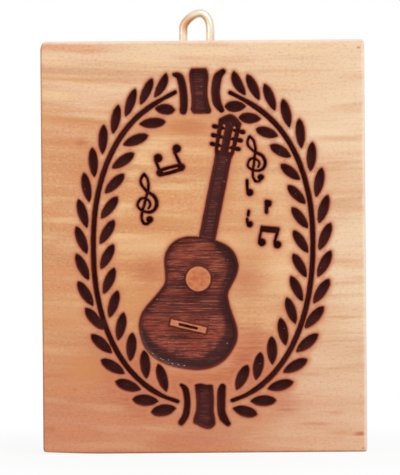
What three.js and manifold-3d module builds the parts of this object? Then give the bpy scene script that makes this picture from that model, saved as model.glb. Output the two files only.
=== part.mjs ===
// Carved wooden cookie mould with a wire hanging ring behind its top edge.
// Millimetres. X runs to the right, Y away from the viewer and Z up.
// The board stands on its lower edge, with the origin in the middle of that edge's underside.
//
// The pieces are modelled lying on a bench: u to the right, v up the board and w out of the board's
// back plane towards the carved face. The last lines stand the bench up.

import * as THREE from 'three';
import { mergeVertices } from 'three/addons/utils/BufferGeometryUtils.js';
import Module from 'manifold-3d';

const wasm = await Module();
wasm.setup();

// Board
const BOARD_WIDTH = 110;
const BOARD_HEIGHT = 140;
const BOARD_THICKNESS = 20;
const CORNER_RADIUS = 1.4;
const ARRIS = 0.9;

// Carving
const GUITAR_DEPTH = 4.6;
const MOTIF_DEPTH = 3.6;
const MOTIF_DROP = 0.3;

// Wreath: each stem lies on its own rounded oval, widest at its waist, with a rise above and below it,
// and the leaves stand in rows on either side of the stem
const LEFT_STEM = { halfWidth: 37.5, waist: 0.2, above: 52.6, below: 53.5 };
const RIGHT_STEM = { halfWidth: 37, waist: 2.1, above: 50.4, below: 55.3 };
const WREATH_FULLNESS = 2.2;
const STEM_GAP_HALF = 9.3;
const STEM_WIDTH = 1.85;
const STEM_END_WIDTH = 1.4;
const STEM_TIP_RUN = 9.7;
const STEM_TIP_LIFT = 1.1;
const LEAF_LENGTH = 10.3;
const LEAF_WIDTH = 3.35;

// Leaf rows. A row starts and ends at its own distance from the stem's ends, and drift and crowding
// shift its middle and its quarters, as shares of the row. Every law is a middle value, a tilt along
// the row and a bend: away from the stem and width in leaf widths, splay in degrees, length in leaf
// lengths. The last leaf has a gap, a distance and a length of its own, and it may curl. Tucked
// leaves, by number, stand closer to the stem by that many leaf widths.
const LEFT_OUTER_ROW = {
  leaves: 17,
  outward: 1,
  startGap: 3.3,
  endGap: 3.2,
  drift: 0.021,
  crowding: 0.079,
  away: [1.18, 0.22, 0.33],
  splay: [22, 2, 11.4],
  length: [1.02, 0.07, -0.08],
  width: [1, -0.15, 0.06],
  last: { gap: 3.1, away: 1.22, length: 0.94, curl: 0.3 },
  tucked: { 4: 0.12, 5: 0.3, 15: 0.14 },
};
const RIGHT_OUTER_ROW = {
  leaves: 17,
  outward: 1,
  startGap: 2.6,
  endGap: 0.9,
  drift: 0.018,
  crowding: 0.083,
  away: [1.22, 0.19, 0.43],
  splay: [23.8, 1.1, 12.9],
  length: [1.03, 0.05, -0.12],
  width: [1.01, -0.08, 0.05],
  last: { gap: 1.2, away: 1.18, length: 0.93, curl: 0.3 },
  tucked: { 5: 0.16, 15: 0.16 },
};
const LEFT_INNER_ROW = {
  leaves: 14,
  outward: -1,
  startGap: 8.7,
  endGap: 3.1,
  drift: -0.013,
  crowding: -0.01,
  away: [1.37, -0.04, 0.17],
  splay: [28.7, -2.8, 10],
  length: [0.97, -0.05, -0.02],
  width: [1, 0.02, 0.08],
  last: { gap: 6, away: 1.01, length: 0.7, curl: 0 },
  tucked: {},
};
const RIGHT_INNER_ROW = {
  leaves: 15,
  outward: -1,
  startGap: 6.8,
  endGap: 1.6,
  drift: -0.01,
  crowding: -0.002,
  away: [1.21, -0.21, 0.33],
  splay: [33, -3, -1],
  length: [0.93, -0.12, -0.09],
  width: [0.98, 0.02, 0.16],
  last: { gap: 3.8, away: 1, length: 0.73, curl: 0 },
  tucked: {},
};

// Ties that close the wreath, as heights above or below its middle
const TOP_TIE_RISE = 52.4;
const BOTTOM_TIE_DROP = 53.5;

// Guitar: the sound hole's centre is its origin, and its neck leans to the right
const GUITAR_LEAN = 11.6;
const GUITAR_AT = [-1.97, -10.64];
const SOUND_HOLE_RADIUS = 4.2;
const NECK_WIDTH = 5.7;
const NECK_FOOT = 13;
const NECK_SHIFT = 0.3;
const NECK_TOP = 43.2;
const PEG_SPACING = 3;
const PEG_RADIUS = 0.78;
const PEG_ROOT = 2;
const PEG_REACH = 4.62;
const PEG_FLARE = 0.18;
const PEG_FIRST = 45.85;
const HEAD_SLOT_REACH = 1.8;
const HEAD_SLOT_WIDTH = 0.85;
const HEAD_SLOT_SPANS = [[44.6, 44.9], [46.3, 48], [49.1, 51.3], [52.4, 52.7]];
const BRIDGE_AT = [-0.2, -16.45];
const BRIDGE_LENGTH = 12.4;
const BRIDGE_WIDTH = 2.1;
const BRIDGE_TURN = -2.1;
const BRIDGE_SLOT_LENGTH = 6.7;
const BRIDGE_SLOT_WIDTH = 1;

// Clefs, about the wreath's middle
const LEFT_CLEF_AT = [-18.75, 19.1];
const RIGHT_CLEF_AT = [17.85, 32.3];
const RIGHT_CLEF_TURN = 8;
const RIGHT_CLEF_SCALE = 0.92;

// Hanging ring: a wire D whose straight bar turns in the strap's knuckle
const RING_WIRE = 3;
const RING_WIDTH = 12.4;
const RING_ABOVE_BOARD = 12.5;
const RING_BAR_BELOW_TOP = 4;
const RING_ARCH_HEIGHT = 5.4;
const RING_ARCH_SHIFT = 1.1;
const RING_INNER_CORNER = 0.6;
const RING_OFFSET = -1.85;

// Strap: folded sheet that lies on the board's back
const STRAP_THICKNESS = 0.8;
const STRAP_WIDTH = 9;
const STRAP_SHOULDER = 3.4;
const STRAP_FOLD_THROAT = 5;
const STRAP_FOLD_LENGTH = 8;
const KNUCKLE_CLEARANCE = 0.3;
const KNUCKLE_SIDE_GAP = 0.3;

// Screw through the strap into the board
const SCREW_DIAMETER = 3;
const SCREW_LENGTH = 12;
const SCREW_POINT = 4;
const SCREW_TIP_RADIUS = 0.25;
const SCREW_HEAD_DIAMETER = 6;
const SCREW_HEAD_HEIGHT = 2.2;
const SCREW_HEAD_BRIM = 0.5;
const SCREW_RECESS_SPAN = 3.4;
const SCREW_RECESS_WIDTH = 0.8;
const SCREW_RECESS_DEPTH = 1.2;
const SCREW_CLEARANCE = 0.25;
const SCREW_RING_GAP = 0.7;

// Worked out from the sizes above
const MOTIF_V = BOARD_HEIGHT / 2 - MOTIF_DROP;
const BAR_V = BOARD_HEIGHT - RING_BAR_BELOW_TOP;
const KNUCKLE_INNER = RING_WIRE / 2 + KNUCKLE_CLEARANCE;
const KNUCKLE_OUTER = KNUCKLE_INNER + STRAP_THICKNESS;
const BAR_W = -KNUCKLE_OUTER;
const LEG_REACH = (RING_WIDTH - RING_WIRE) / 2;
const BAR_CORNER = RING_WIRE / 2 + RING_INNER_CORNER;
const KNUCKLE_WIDTH = 2 * (LEG_REACH - BAR_CORNER - KNUCKLE_SIDE_GAP);
const ARCH_TOP_V = BOARD_HEIGHT + RING_ABOVE_BOARD - RING_WIRE / 2;
const FOLDED_REACH = ARCH_TOP_V - BAR_V + RING_WIRE / 2;
const SCREW_V = BAR_V - FOLDED_REACH - SCREW_RING_GAP - SCREW_HEAD_DIAMETER / 2;

// Facets and overlaps
const OVERCUT = 1;
const CURVE_FACETS = 10;
const ROUND_FACETS = 24;
const END_FACETS = 4;
const LEAF_FACETS = 5;
const RING_STEPS = 96;
const RING_SIDES = 14;

const LEFT = -1;
const RIGHT = 1;
const radians = THREE.MathUtils.degToRad;
const at2 = (pair) => new THREE.Vector2(pair[0], pair[1]);

// Closed geometry to a solid that can be cut, and back
function solidOf(geometry) {
  geometry.deleteAttribute('normal');
  geometry.deleteAttribute('uv');
  const merged = mergeVertices(geometry, 1e-5);
  const vertProperties = new Float32Array(merged.attributes.position.array);
  const triVerts = new Uint32Array(merged.index.array);
  return new wasm.Manifold(new wasm.Mesh({ numProp: 3, vertProperties, triVerts }));
}

function geometryOf(solid) {
  const mesh = solid.getMesh();
  const geometry = new THREE.BufferGeometry();
  geometry.setAttribute('position', new THREE.BufferAttribute(mesh.vertProperties, 3));
  geometry.setIndex(new THREE.BufferAttribute(mesh.triVerts, 1));
  geometry.computeVertexNormals();
  return geometry;
}

// A flat shape as a solid from one level to another
function prism(shape, from, to) {
  const settings = { depth: to - from, bevelEnabled: false, curveSegments: CURVE_FACETS };
  const geometry = new THREE.ExtrudeGeometry(shape, settings);
  return solidOf(geometry.translate(0, 0, from));
}

// A recess of the carved face, cut down to the given depth
function recess(shape, depth) {
  return prism(shape, BOARD_THICKNESS - depth, BOARD_THICKNESS + OVERCUT);
}

// A brush stroke along a smooth line: its half width runs through the given values, and its ends are round
function stroke(points, halfWidths, steps = 2 * (points.length - 1)) {
  const line = new THREE.SplineCurve(points.map(at2));
  const widthLine = new THREE.SplineCurve(halfWidths.map((half, i) => new THREE.Vector2(i, half)));
  const stations = [];
  for (let i = 0; i <= steps; i += 1) {
    const t = i / steps;
    stations.push({ at: line.getPoint(t), along: line.getTangent(t), half: widthLine.getPoint(t).y });
  }
  const outline = [];
  const side = (station, sign) => {
    const across = new THREE.Vector2(-station.along.y, station.along.x);
    return station.at.clone().addScaledVector(across, sign * station.half);
  };
  const cap = (station, turn) => {
    for (let i = 1; i < END_FACETS; i += 1) {
      const spoke = new THREE.Vector2(-station.along.y, station.along.x);
      spoke.rotateAround(new THREE.Vector2(0, 0), -Math.PI * (i / END_FACETS));
      outline.push(station.at.clone().addScaledVector(spoke, turn * station.half));
    }
  };
  stations.forEach((station) => outline.push(side(station, 1)));
  cap(stations[steps], 1);
  stations.slice().reverse().forEach((station) => outline.push(side(station, -1)));
  cap(stations[0], -1);
  return new THREE.Shape(outline.reverse());
}

function disc(centre, radius, facets = ROUND_FACETS / 2) {
  const outline = [];
  for (let i = 0; i < facets; i += 1) {
    const angle = (2 * Math.PI * i) / facets;
    outline.push(at2(centre).add(new THREE.Vector2(Math.cos(angle), Math.sin(angle)).multiplyScalar(radius)));
  }
  return new THREE.Shape(outline);
}

function polygon(points) {
  return new THREE.Shape(points.map(at2));
}

// A closed smooth outline through points given for its right half, bottom to top, and mirrored
function mirroredOutline(halfPoints, steps) {
  const mirrored = halfPoints.slice(1, -1).reverse().map(([u, v]) => [-u, v]);
  const points = [...halfPoints, ...mirrored].map(([u, v]) => new THREE.Vector3(u, v, 0));
  const line = new THREE.CatmullRomCurve3(points, true, 'centripetal');
  return new THREE.Shape(line.getPoints(steps).slice(0, -1).map((p) => new THREE.Vector2(p.x, p.y)));
}

// Moves flat shapes as one motif: scaled, turned anticlockwise and set at a place
function placed(shapes, [u, v], turn = 0, scale = 1) {
  const angle = radians(turn);
  const origin = new THREE.Vector2(0, 0);
  const move = (point) => point.clone().multiplyScalar(scale).rotateAround(origin, angle)
    .add(new THREE.Vector2(u, v));
  return shapes.map((shape) => {
    const moved = new THREE.Shape(shape.getPoints(CURVE_FACETS).map(move));
    moved.holes = shape.holes.map((hole) => new THREE.Path(hole.getPoints(CURVE_FACETS).map(move)));
    return moved;
  });
}

// Wreath: one stem between the two ties, as a line measured from its lower end. Its upper tip
// bends a little less than the oval.
function stemLine(side, stem) {
  const power = 2 / WREATH_FULLNESS;
  const endRise = (1 - (STEM_GAP_HALF / stem.halfWidth) ** WREATH_FULLNESS) ** 0.5;
  const endAngle = Math.asin(endRise);
  const points = [];
  const steps = 36;
  for (let i = 0; i <= steps; i += 1) {
    const angle = endAngle * ((2 * i) / steps - 1);
    const reach = Math.abs(Math.sin(angle)) ** power;
    const u = stem.halfWidth * Math.cos(angle) ** power;
    const tip = Math.max(0, 1 + (STEM_GAP_HALF - u) / STEM_TIP_RUN);
    const rise = angle > 0 ? stem.above * reach + STEM_TIP_LIFT * tip ** 2 : -stem.below * reach;
    points.push(new THREE.Vector2(side * u, stem.waist + rise));
  }
  return new THREE.SplineCurve(points);
}

function stemShape(line) {
  const points = line.getSpacedPoints(28).map((p) => [p.x, p.y]);
  const half = STEM_WIDTH / 2;
  const halfWidths = points.map((_, i) => (i > 1 && i < points.length - 2 ? half : STEM_END_WIDTH / 2));
  return stroke(points, halfWidths, points.length - 1);
}

// A leaf: pointed where it springs from the stem, blunter at its tip, and centred on its own middle.
// A curl, in leaf widths, pushes its middle sideways, so that it bends like a comma.
function leafShape(length, width, curl) {
  const bulge = (width / 2) / 0.72;
  const push = curl * width;
  const tip = new THREE.Vector2(length / 2, -push / 2);
  const base = new THREE.Vector2(-length / 2, -push / 2);
  const edge = (sign) => new THREE.CubicBezierCurve(
    base,
    new THREE.Vector2(-0.22 * length, sign * bulge + push / 4),
    new THREE.Vector2(0.36 * length, sign * 0.9 * bulge + push / 2),
    tip,
  );
  const lower = edge(-1).getPoints(LEAF_FACETS);
  const upper = edge(1).getPoints(LEAF_FACETS).reverse();
  return new THREE.Shape([...lower, ...upper.slice(1, -1)]);
}

function leafRow(line, side, row) {
  const stem = line.getLength();
  const span = stem - row.startGap - row.endGap;
  const leaves = [];
  for (let i = 0; i < row.leaves; i += 1) {
    const t = (2 * i) / (row.leaves - 1) - 1;
    const law = ([middle, tilt, bend]) => middle + tilt * t + bend * t * t;
    const share = (1 + t) / 2 + row.drift * (1 - t * t) + row.crowding * (t - t ** 3);
    const leaf = {
      along: row.startGap + span * share,
      away: law(row.away) - (row.tucked[i] ?? 0),
      length: law(row.length),
      curl: 0,
    };
    if (i === row.leaves - 1) {
      Object.assign(leaf, row.last, { along: stem - row.last.gap });
    }
    const foot = line.getPointAt(leaf.along / stem);
    const up = line.getTangentAt(leaf.along / stem);
    const outward = new THREE.Vector2(up.y, -up.x).multiplyScalar(side * row.outward);
    const centre = foot.addScaledVector(outward, leaf.away * LEAF_WIDTH);
    const turn = THREE.MathUtils.radToDeg(up.angle()) - side * row.outward * law(row.splay);
    const shape = leafShape(leaf.length * LEAF_LENGTH, law(row.width) * LEAF_WIDTH, side * leaf.curl);
    leaves.push(...placed([shape], [centre.x, centre.y], turn));
  }
  return leaves;
}

function wreathShapes() {
  const left = stemLine(LEFT, LEFT_STEM);
  const right = stemLine(RIGHT, RIGHT_STEM);
  return [
    stemShape(left),
    stemShape(right),
    ...leafRow(left, LEFT, LEFT_OUTER_ROW),
    ...leafRow(right, RIGHT, RIGHT_OUTER_ROW),
    ...leafRow(left, LEFT, LEFT_INNER_ROW),
    ...leafRow(right, RIGHT, RIGHT_INNER_ROW),
  ];
}

// Ties: a waisted middle band between two bent ones
function topTieShapes() {
  const middle = new THREE.Shape();
  middle.moveTo(-3.3, 8.4);
  middle.quadraticCurveTo(-4.7, 8.2, -4.5, 5.1);
  middle.bezierCurveTo(-4.2, 1.5, -3.4, -2.5, -4.1, -5.4);
  middle.quadraticCurveTo(-3.7, -6.9, -2.9, -7);
  middle.lineTo(2.1, -7);
  middle.quadraticCurveTo(3.1, -6.6, 2.7, -5.2);
  middle.bezierCurveTo(1.3, -1.5, 1.5, 2, 2.1, 5.2);
  middle.quadraticCurveTo(1.9, 8.1, 1.1, 8.4);
  const leftBand = [[-9.6, 6.3], [-7.9, 5.7], [-6.95, 2.9], [-6.5, -0.4], [-6.4, -3.8], [-6.6, -6]];
  const rightBand = [[7, 7.3], [5.4, 5.8], [4.7, 3.3], [4.4, 0.1], [4.95, -3.5], [6.4, -5.8]];
  return [
    middle,
    stroke(leftBand, [0.7, 1.2, 1.3, 1.33, 1.33, 1.25]),
    stroke(rightBand, [0.9, 1.4, 1.5, 1.5, 1.45, 0.95]),
  ];
}

function bottomTieShapes() {
  const middle = new THREE.Shape();
  middle.moveTo(-3.5, 6.9);
  middle.quadraticCurveTo(-1.7, 7.8, 0, 7);
  middle.lineTo(2.7, 6.95);
  middle.bezierCurveTo(3.1, 3.3, 3.1, -0.5, 2.9, -2);
  middle.quadraticCurveTo(3.5, -4.5, 3.45, -6.4);
  middle.quadraticCurveTo(2.6, -8.1, 0.9, -8.1);
  middle.quadraticCurveTo(-1, -7.9, -4, -6);
  middle.quadraticCurveTo(-4.2, -4.6, -3.3, -2.6);
  middle.bezierCurveTo(-2.7, -1, -3, 3.3, -3.5, 6.9);
  const leftBand = [[-8, 6.9], [-6.65, 5.4], [-6.1, 2.6], [-6.1, -0.45], [-6.7, -3.6], [-8.2, -5.9]];
  const rightBand = [[6, 6.1], [5.6, 4.4], [5.5, 1], [5.55, -2.05], [6.3, -4.5], [7.7, -6.3]];
  return [
    middle,
    stroke(leftBand, [0.6, 1.05, 1.1, 1.1, 1.15, 1.0]),
    stroke(rightBand, [1.15, 1.43, 1.4, 1.38, 1.4, 0.95]),
  ];
}

// Guitar, upright about its sound hole: the body is cut deeper than the neck and head
const GUITAR_HALF = [
  [0, -30.9], [7.6, -29.9], [12.8, -26.9], [15.7, -22.5], [16.9, -18], [16.2, -14], [13.5, -9],
  [11.4, -5], [10.9, -3], [11.5, 0], [12.6, 4], [12.5, 7], [10.9, 10.4], [7.5, NECK_FOOT], [0, 14.2],
];
const HEAD_HALF = [
  [NECK_WIDTH / 2, -1.2], [3.4, 1.2], [3.6, 4.5], [3.85, 9.5], [3.9, 11.4], [2.3, 12.8], [0, 13.8],
];

function bridgeShape(length, width) {
  const turned = placed([polygon([
    [-length / 2, -width / 2], [length / 2, -width / 2], [length / 2, width / 2], [-length / 2, width / 2],
  ])], BRIDGE_AT, BRIDGE_TURN);
  return turned[0];
}

function guitarBodyShape() {
  const body = mirroredOutline(GUITAR_HALF, 64);
  body.holes = [
    new THREE.Path(disc([0, 0], SOUND_HOLE_RADIUS, ROUND_FACETS).getPoints()),
    new THREE.Path(bridgeShape(BRIDGE_LENGTH, BRIDGE_WIDTH).getPoints()),
  ];
  return body;
}

function guitarNeckShapes() {
  const half = NECK_WIDTH / 2;
  const neck = polygon([[-half, NECK_FOOT], [half, NECK_FOOT], [half, NECK_TOP], [-half, NECK_TOP]]);
  const leftSide = HEAD_HALF.slice(0, -1).reverse().map(([u, v]) => [-u, v]);
  const head = polygon([...HEAD_HALF, ...leftSide].map(([u, v]) => [u, v + NECK_TOP]));
  head.holes = headSlots().map((slot) => new THREE.Path(slot.getPoints()));
  const pegs = [];
  for (let i = 0; i < 3; i += 1) {
    const v = PEG_FIRST + i * PEG_SPACING;
    for (const side of [LEFT, RIGHT]) {
      const reach = side * (PEG_REACH + PEG_FLARE * i);
      pegs.push(stroke([[side * PEG_ROOT, v], [reach, v]], [PEG_RADIUS * 0.8, PEG_RADIUS], 1));
    }
  }
  return placed([neck, head, ...pegs], [NECK_SHIFT, 0]);
}

// Slots that stay standing in the head: two columns of a short, two long and a short one
function headSlots() {
  const half = HEAD_SLOT_WIDTH / 2;
  const slots = [];
  for (const side of [LEFT, RIGHT]) {
    for (const [from, to] of HEAD_SLOT_SPANS) {
      slots.push(stroke([[side * HEAD_SLOT_REACH, from], [side * HEAD_SLOT_REACH, to]], [half, half], 1));
    }
  }
  return slots;
}

// Treble clef, about the point where its loop crosses: loop, bowl, inner curl, tail and ball
function clefShapes() {
  return [
    stroke([[0, 0], [0.1, 1.85], [-0.2, 4.3], [-1.35, 6]], [0.55, 0.5, 0.5, 0.5]),
    stroke([[-1.35, 6], [-2.4, 4.3], [-2.3, 2.5], [-1, 0.8], [-0.2, -0.4]], [0.5, 0.5, 0.5, 0.5, 0.55]),
    stroke([[-0.2, -0.1], [2.05, -1.65], [2.9, -4.1], [2.05, -6.2], [0.2, -7], [-2.1, -6.5]],
      [0.55, 0.62, 0.65, 0.62, 0.55, 0.5]),
    stroke([[-2.1, -6.5], [-3.6, -4.85], [-2.9, -2.8], [-1.35, -2.2], [0.2, -3.1], [0.7, -4.5], [0, -5.8]],
      [0.5, 0.48, 0.48, 0.5, 0.45, 0.45, 0.35]),
    stroke([[-0.2, -0.4], [-0.8, -2.1], [-1.3, -4.3], [-2.1, -6.8], [-2.3, -9.1]],
      [0.55, 0.5, 0.5, 0.5, 0.5]),
    stroke([[-2.3, -9.1], [-1.6, -10.7], [-0.2, -10.8], [0.7, -9.8]], [0.5, 0.52, 0.55, 0.6]),
    disc([0.45, -9.5], 1.25),
  ];
}

// Notes: a head, a stem and, on the pairs, a beam
function leftPairShapes() {
  const beam = stroke([[-14.6, 25.5], [-7.5, 27.35]], [1.4, 1.4], 1);
  beam.holes = [new THREE.Path(stroke([[-13.4, 25.85], [-8.9, 27.05]], [0.22, 0.22], 1).getPoints())];
  return [
    beam,
    disc([-15.25, 30.45], 1.5),
    disc([-8.95, 33.6], 1.5),
    stroke([[-16.3, 30.1], [-14.9, 26.4]], [0.5, 0.55], 1),
    stroke([[-9.8, 32.7], [-7.5, 27.6]], [0.5, 0.6], 1),
  ];
}

function rightPairShapes() {
  return [
    polygon([[19.4, 7.35], [25.75, 6.65], [25.4, 4.5], [19, 5.2]]),
    stroke([[19.75, 6.7], [18.8, 2.2]], [0.5, 0.48], 1),
    stroke([[25.35, 6.1], [24, 1.6]], [0.55, 0.5], 1),
    disc([19.7, 1.6], 1.4),
    disc([24.95, 0.8], 1.4),
  ];
}

function smallNoteShapes() {
  return [
    stroke([[14.85, 22.6], [14.95, 19]], [0.55, 0.5], 1),
    disc([15.75, 18.55], 1.28),
    stroke([[21.35, 15.2], [21.35, 11.8]], [0.68, 0.62], 1),
    stroke([[21.4, 15.3], [22.6, 15.2]], [0.75, 0.65], 1),
    disc([21.95, 14.7], 1.25),
    stroke([[15.35, 12.2], [15.1, 10.8]], [0.52, 0.5], 1),
    stroke([[14.8, 9.6], [14.85, 8.2]], [0.48, 0.5], 1),
    disc([15.65, 7.8], 1.15),
  ];
}

// Board with every recess of its face and the screw's pilot hole
function boardSolid() {
  const outline = new THREE.Shape();
  const across = BOARD_WIDTH / 2 - CORNER_RADIUS;
  const low = CORNER_RADIUS;
  const high = BOARD_HEIGHT - CORNER_RADIUS;
  outline.moveTo(-across, 0);
  outline.lineTo(across, 0);
  outline.absarc(across, low, CORNER_RADIUS, -Math.PI / 2, 0);
  outline.absarc(across, high, CORNER_RADIUS, 0, Math.PI / 2);
  outline.absarc(-across, high, CORNER_RADIUS, Math.PI / 2, Math.PI);
  outline.absarc(-across, low, CORNER_RADIUS, Math.PI, 1.5 * Math.PI);
  const blank = new THREE.ExtrudeGeometry(outline, {
    depth: BOARD_THICKNESS - 2 * ARRIS,
    bevelEnabled: true,
    bevelThickness: ARRIS,
    bevelSize: ARRIS,
    bevelOffset: -ARRIS,
    bevelSegments: 2,
    curveSegments: 4,
  });
  let board = solidOf(blank.translate(0, 0, ARRIS));
  const fromMiddle = ([u, v]) => [u, MOTIF_V + v];
  const middle = fromMiddle([0, 0]);
  const shallow = [
    ...placed(wreathShapes(), middle),
    ...placed(topTieShapes(), fromMiddle([0, TOP_TIE_RISE])),
    ...placed(bottomTieShapes(), fromMiddle([0, -BOTTOM_TIE_DROP])),
    ...placed(clefShapes(), fromMiddle(LEFT_CLEF_AT)),
    ...placed(clefShapes(), fromMiddle(RIGHT_CLEF_AT), RIGHT_CLEF_TURN, RIGHT_CLEF_SCALE),
    ...placed(leftPairShapes(), middle),
    ...placed(rightPairShapes(), middle),
    ...placed(smallNoteShapes(), middle),
  ];
  const guitarPlace = fromMiddle(GUITAR_AT);
  shallow.push(...placed(guitarNeckShapes(), guitarPlace, -GUITAR_LEAN));
  shallow.push(...placed([bridgeShape(BRIDGE_SLOT_LENGTH, BRIDGE_SLOT_WIDTH)], guitarPlace, -GUITAR_LEAN));
  for (const shape of shallow) {
    board = board.subtract(recess(shape, MOTIF_DEPTH));
  }
  for (const shape of placed([guitarBodyShape()], guitarPlace, -GUITAR_LEAN)) {
    board = board.subtract(recess(shape, GUITAR_DEPTH));
  }
  return board.subtract(screwBody(SCREW_CLEARANCE));
}

// Strap: a flat tongue with a round lower end, folded at its top into the knuckle round the ring's bar
function strapSolid() {
  const half = STRAP_WIDTH / 2;
  const neck = KNUCKLE_WIDTH / 2;
  const shoulder = BAR_V - STRAP_SHOULDER;
  const tongue = new THREE.Shape();
  tongue.moveTo(neck, BAR_V);
  tongue.lineTo(neck, shoulder);
  tongue.quadraticCurveTo(half, shoulder, half, shoulder - (half - neck));
  tongue.lineTo(half, SCREW_V);
  tongue.absarc(0, SCREW_V, half, 0, -Math.PI, true);
  tongue.lineTo(-half, shoulder - (half - neck));
  tongue.quadraticCurveTo(-half, shoulder, -neck, shoulder);
  tongue.lineTo(-neck, BAR_V);
  const hole = new THREE.Path();
  hole.absarc(0, SCREW_V, SCREW_DIAMETER / 2 + SCREW_CLEARANCE, 0, 2 * Math.PI);
  tongue.holes = [hole];

  // Side view of the fold: back plane at 0, sheet drawn as a loop with an open throat below the bar
  const lean = 2 * Math.atan(KNUCKLE_INNER / STRAP_FOLD_THROAT);
  const fold = new THREE.Shape();
  fold.moveTo(0, -STRAP_FOLD_LENGTH);
  fold.lineTo(0, 0);
  fold.absarc(KNUCKLE_OUTER, 0, KNUCKLE_OUTER, Math.PI, -lean, true);
  const edge = KNUCKLE_OUTER + KNUCKLE_OUTER * Math.cos(lean);
  const slant = (edge - 2 * STRAP_THICKNESS) / Math.tan(lean);
  fold.lineTo(2 * STRAP_THICKNESS, -KNUCKLE_OUTER * Math.sin(lean) - slant);
  fold.lineTo(2 * STRAP_THICKNESS, -STRAP_FOLD_LENGTH);
  const throat = new THREE.Path();
  throat.moveTo(STRAP_THICKNESS, 0);
  throat.lineTo(STRAP_THICKNESS, -STRAP_FOLD_THROAT);
  throat.absarc(KNUCKLE_OUTER, 0, KNUCKLE_INNER, -lean, Math.PI);
  fold.holes = [throat];
  const foldGeometry = new THREE.ExtrudeGeometry(fold, {
    depth: KNUCKLE_WIDTH, bevelEnabled: false, curveSegments: ROUND_FACETS,
  });
  const sideways = new THREE.Matrix4().makeBasis(
    new THREE.Vector3(0, 0, -1),
    new THREE.Vector3(0, 1, 0),
    new THREE.Vector3(1, 0, 0),
  );
  foldGeometry.translate(0, 0, -KNUCKLE_WIDTH / 2).applyMatrix4(sideways).translate(0, BAR_V, 0);
  return prism(tongue, -STRAP_THICKNESS, 0).add(solidOf(foldGeometry));
}

// Screw: shank and point, swollen by an allowance where the board's pilot hole is cut with it
function screwBody(allowance) {
  const radius = SCREW_DIAMETER / 2 + allowance;
  const tip = SCREW_LENGTH + allowance;
  const point = [[radius, SCREW_LENGTH - SCREW_POINT], [SCREW_TIP_RADIUS + allowance, tip], [0, tip]];
  const profile = [[0, 0], [radius, 0], ...point];
  const geometry = new THREE.LatheGeometry(profile.map(at2), ROUND_FACETS);
  geometry.rotateX(Math.PI / 2).translate(RING_OFFSET, SCREW_V, -STRAP_THICKNESS);
  return solidOf(geometry);
}

function screwSolid() {
  const radius = SCREW_HEAD_DIAMETER / 2;
  const dome = new THREE.QuadraticBezierCurve(
    new THREE.Vector2(0, SCREW_HEAD_HEIGHT),
    new THREE.Vector2(0.86 * radius, SCREW_HEAD_HEIGHT),
    new THREE.Vector2(radius, SCREW_HEAD_BRIM),
  ).getPoints(6);
  const profile = [...dome, new THREE.Vector2(radius, 0), new THREE.Vector2(0, 0)].reverse();
  const head = new THREE.LatheGeometry(profile, ROUND_FACETS);
  head.rotateX(-Math.PI / 2).translate(RING_OFFSET, SCREW_V, -STRAP_THICKNESS);
  let screw = solidOf(head).add(screwBody(0));
  for (const turn of [0, Math.PI / 2]) {
    const bar = new THREE.BoxGeometry(SCREW_RECESS_SPAN, SCREW_RECESS_WIDTH, 2 * SCREW_RECESS_DEPTH);
    bar.rotateZ(turn).translate(RING_OFFSET, SCREW_V, -STRAP_THICKNESS - SCREW_HEAD_HEIGHT);
    screw = screw.subtract(solidOf(bar));
  }
  return screw;
}

// Ring: bar, two corners, two legs and an arch whose top sits a little to one side
function ringGeometry() {
  const rise = ARCH_TOP_V - BAR_V;
  const spring = rise - RING_ARCH_HEIGHT;
  const legs = LEG_REACH;
  const at = (u, v) => new THREE.Vector3(u, v, 0);
  const path = new THREE.CurvePath();
  path.add(new THREE.LineCurve3(at(-legs + BAR_CORNER, 0), at(legs - BAR_CORNER, 0)));
  path.add(new THREE.QuadraticBezierCurve3(at(legs - BAR_CORNER, 0), at(legs, 0), at(legs, BAR_CORNER)));
  path.add(new THREE.LineCurve3(at(legs, BAR_CORNER), at(legs, spring)));
  path.add(new THREE.CubicBezierCurve3(
    at(legs, spring),
    at(legs, spring + 0.6 * RING_ARCH_HEIGHT),
    at(RING_ARCH_SHIFT + 0.5 * (legs - RING_ARCH_SHIFT), rise),
    at(RING_ARCH_SHIFT, rise),
  ));
  path.add(new THREE.CubicBezierCurve3(
    at(RING_ARCH_SHIFT, rise),
    at(RING_ARCH_SHIFT - 0.42 * (legs + RING_ARCH_SHIFT), rise),
    at(-legs, spring + 0.45 * RING_ARCH_HEIGHT),
    at(-legs, spring),
  ));
  path.add(new THREE.LineCurve3(at(-legs, spring), at(-legs, BAR_CORNER)));
  path.add(new THREE.QuadraticBezierCurve3(at(-legs, BAR_CORNER), at(-legs, 0), at(-legs + BAR_CORNER, 0)));
  return new THREE.TubeGeometry(path, RING_STEPS, RING_WIRE / 2, RING_SIDES, true);
}

// Finishes
const WOOD = new THREE.MeshStandardMaterial({ color: 0xdba374, roughness: 0.62, metalness: 0 });
const BRASS = new THREE.MeshStandardMaterial({ color: 0xd9b06c, roughness: 0.22, metalness: 1 });
const PLATED = new THREE.MeshStandardMaterial({ color: 0xcfa75f, roughness: 0.34, metalness: 1 });

function piece(name, geometry, material) {
  const mesh = new THREE.Mesh(geometry, material);
  mesh.name = name;
  return mesh;
}

const board = piece('mould_board', geometryOf(boardSolid()), WOOD);
const strap = piece('hanger_strap', geometryOf(strapSolid()), PLATED);
strap.position.set(RING_OFFSET, 0, 0);
const screw = piece('hanger_screw', geometryOf(screwSolid()), BRASS.clone());
const ring = piece('hanger_ring', ringGeometry(), BRASS);
ring.position.set(RING_OFFSET, BAR_V, BAR_W);

const bench = new THREE.Group();
bench.add(board, strap, screw, ring);
bench.rotation.set(Math.PI / 2, 0, 0);
bench.position.set(0, BOARD_THICKNESS / 2, 0);

const mould = new THREE.Group();
mould.add(bench);

export default mould;
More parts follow.
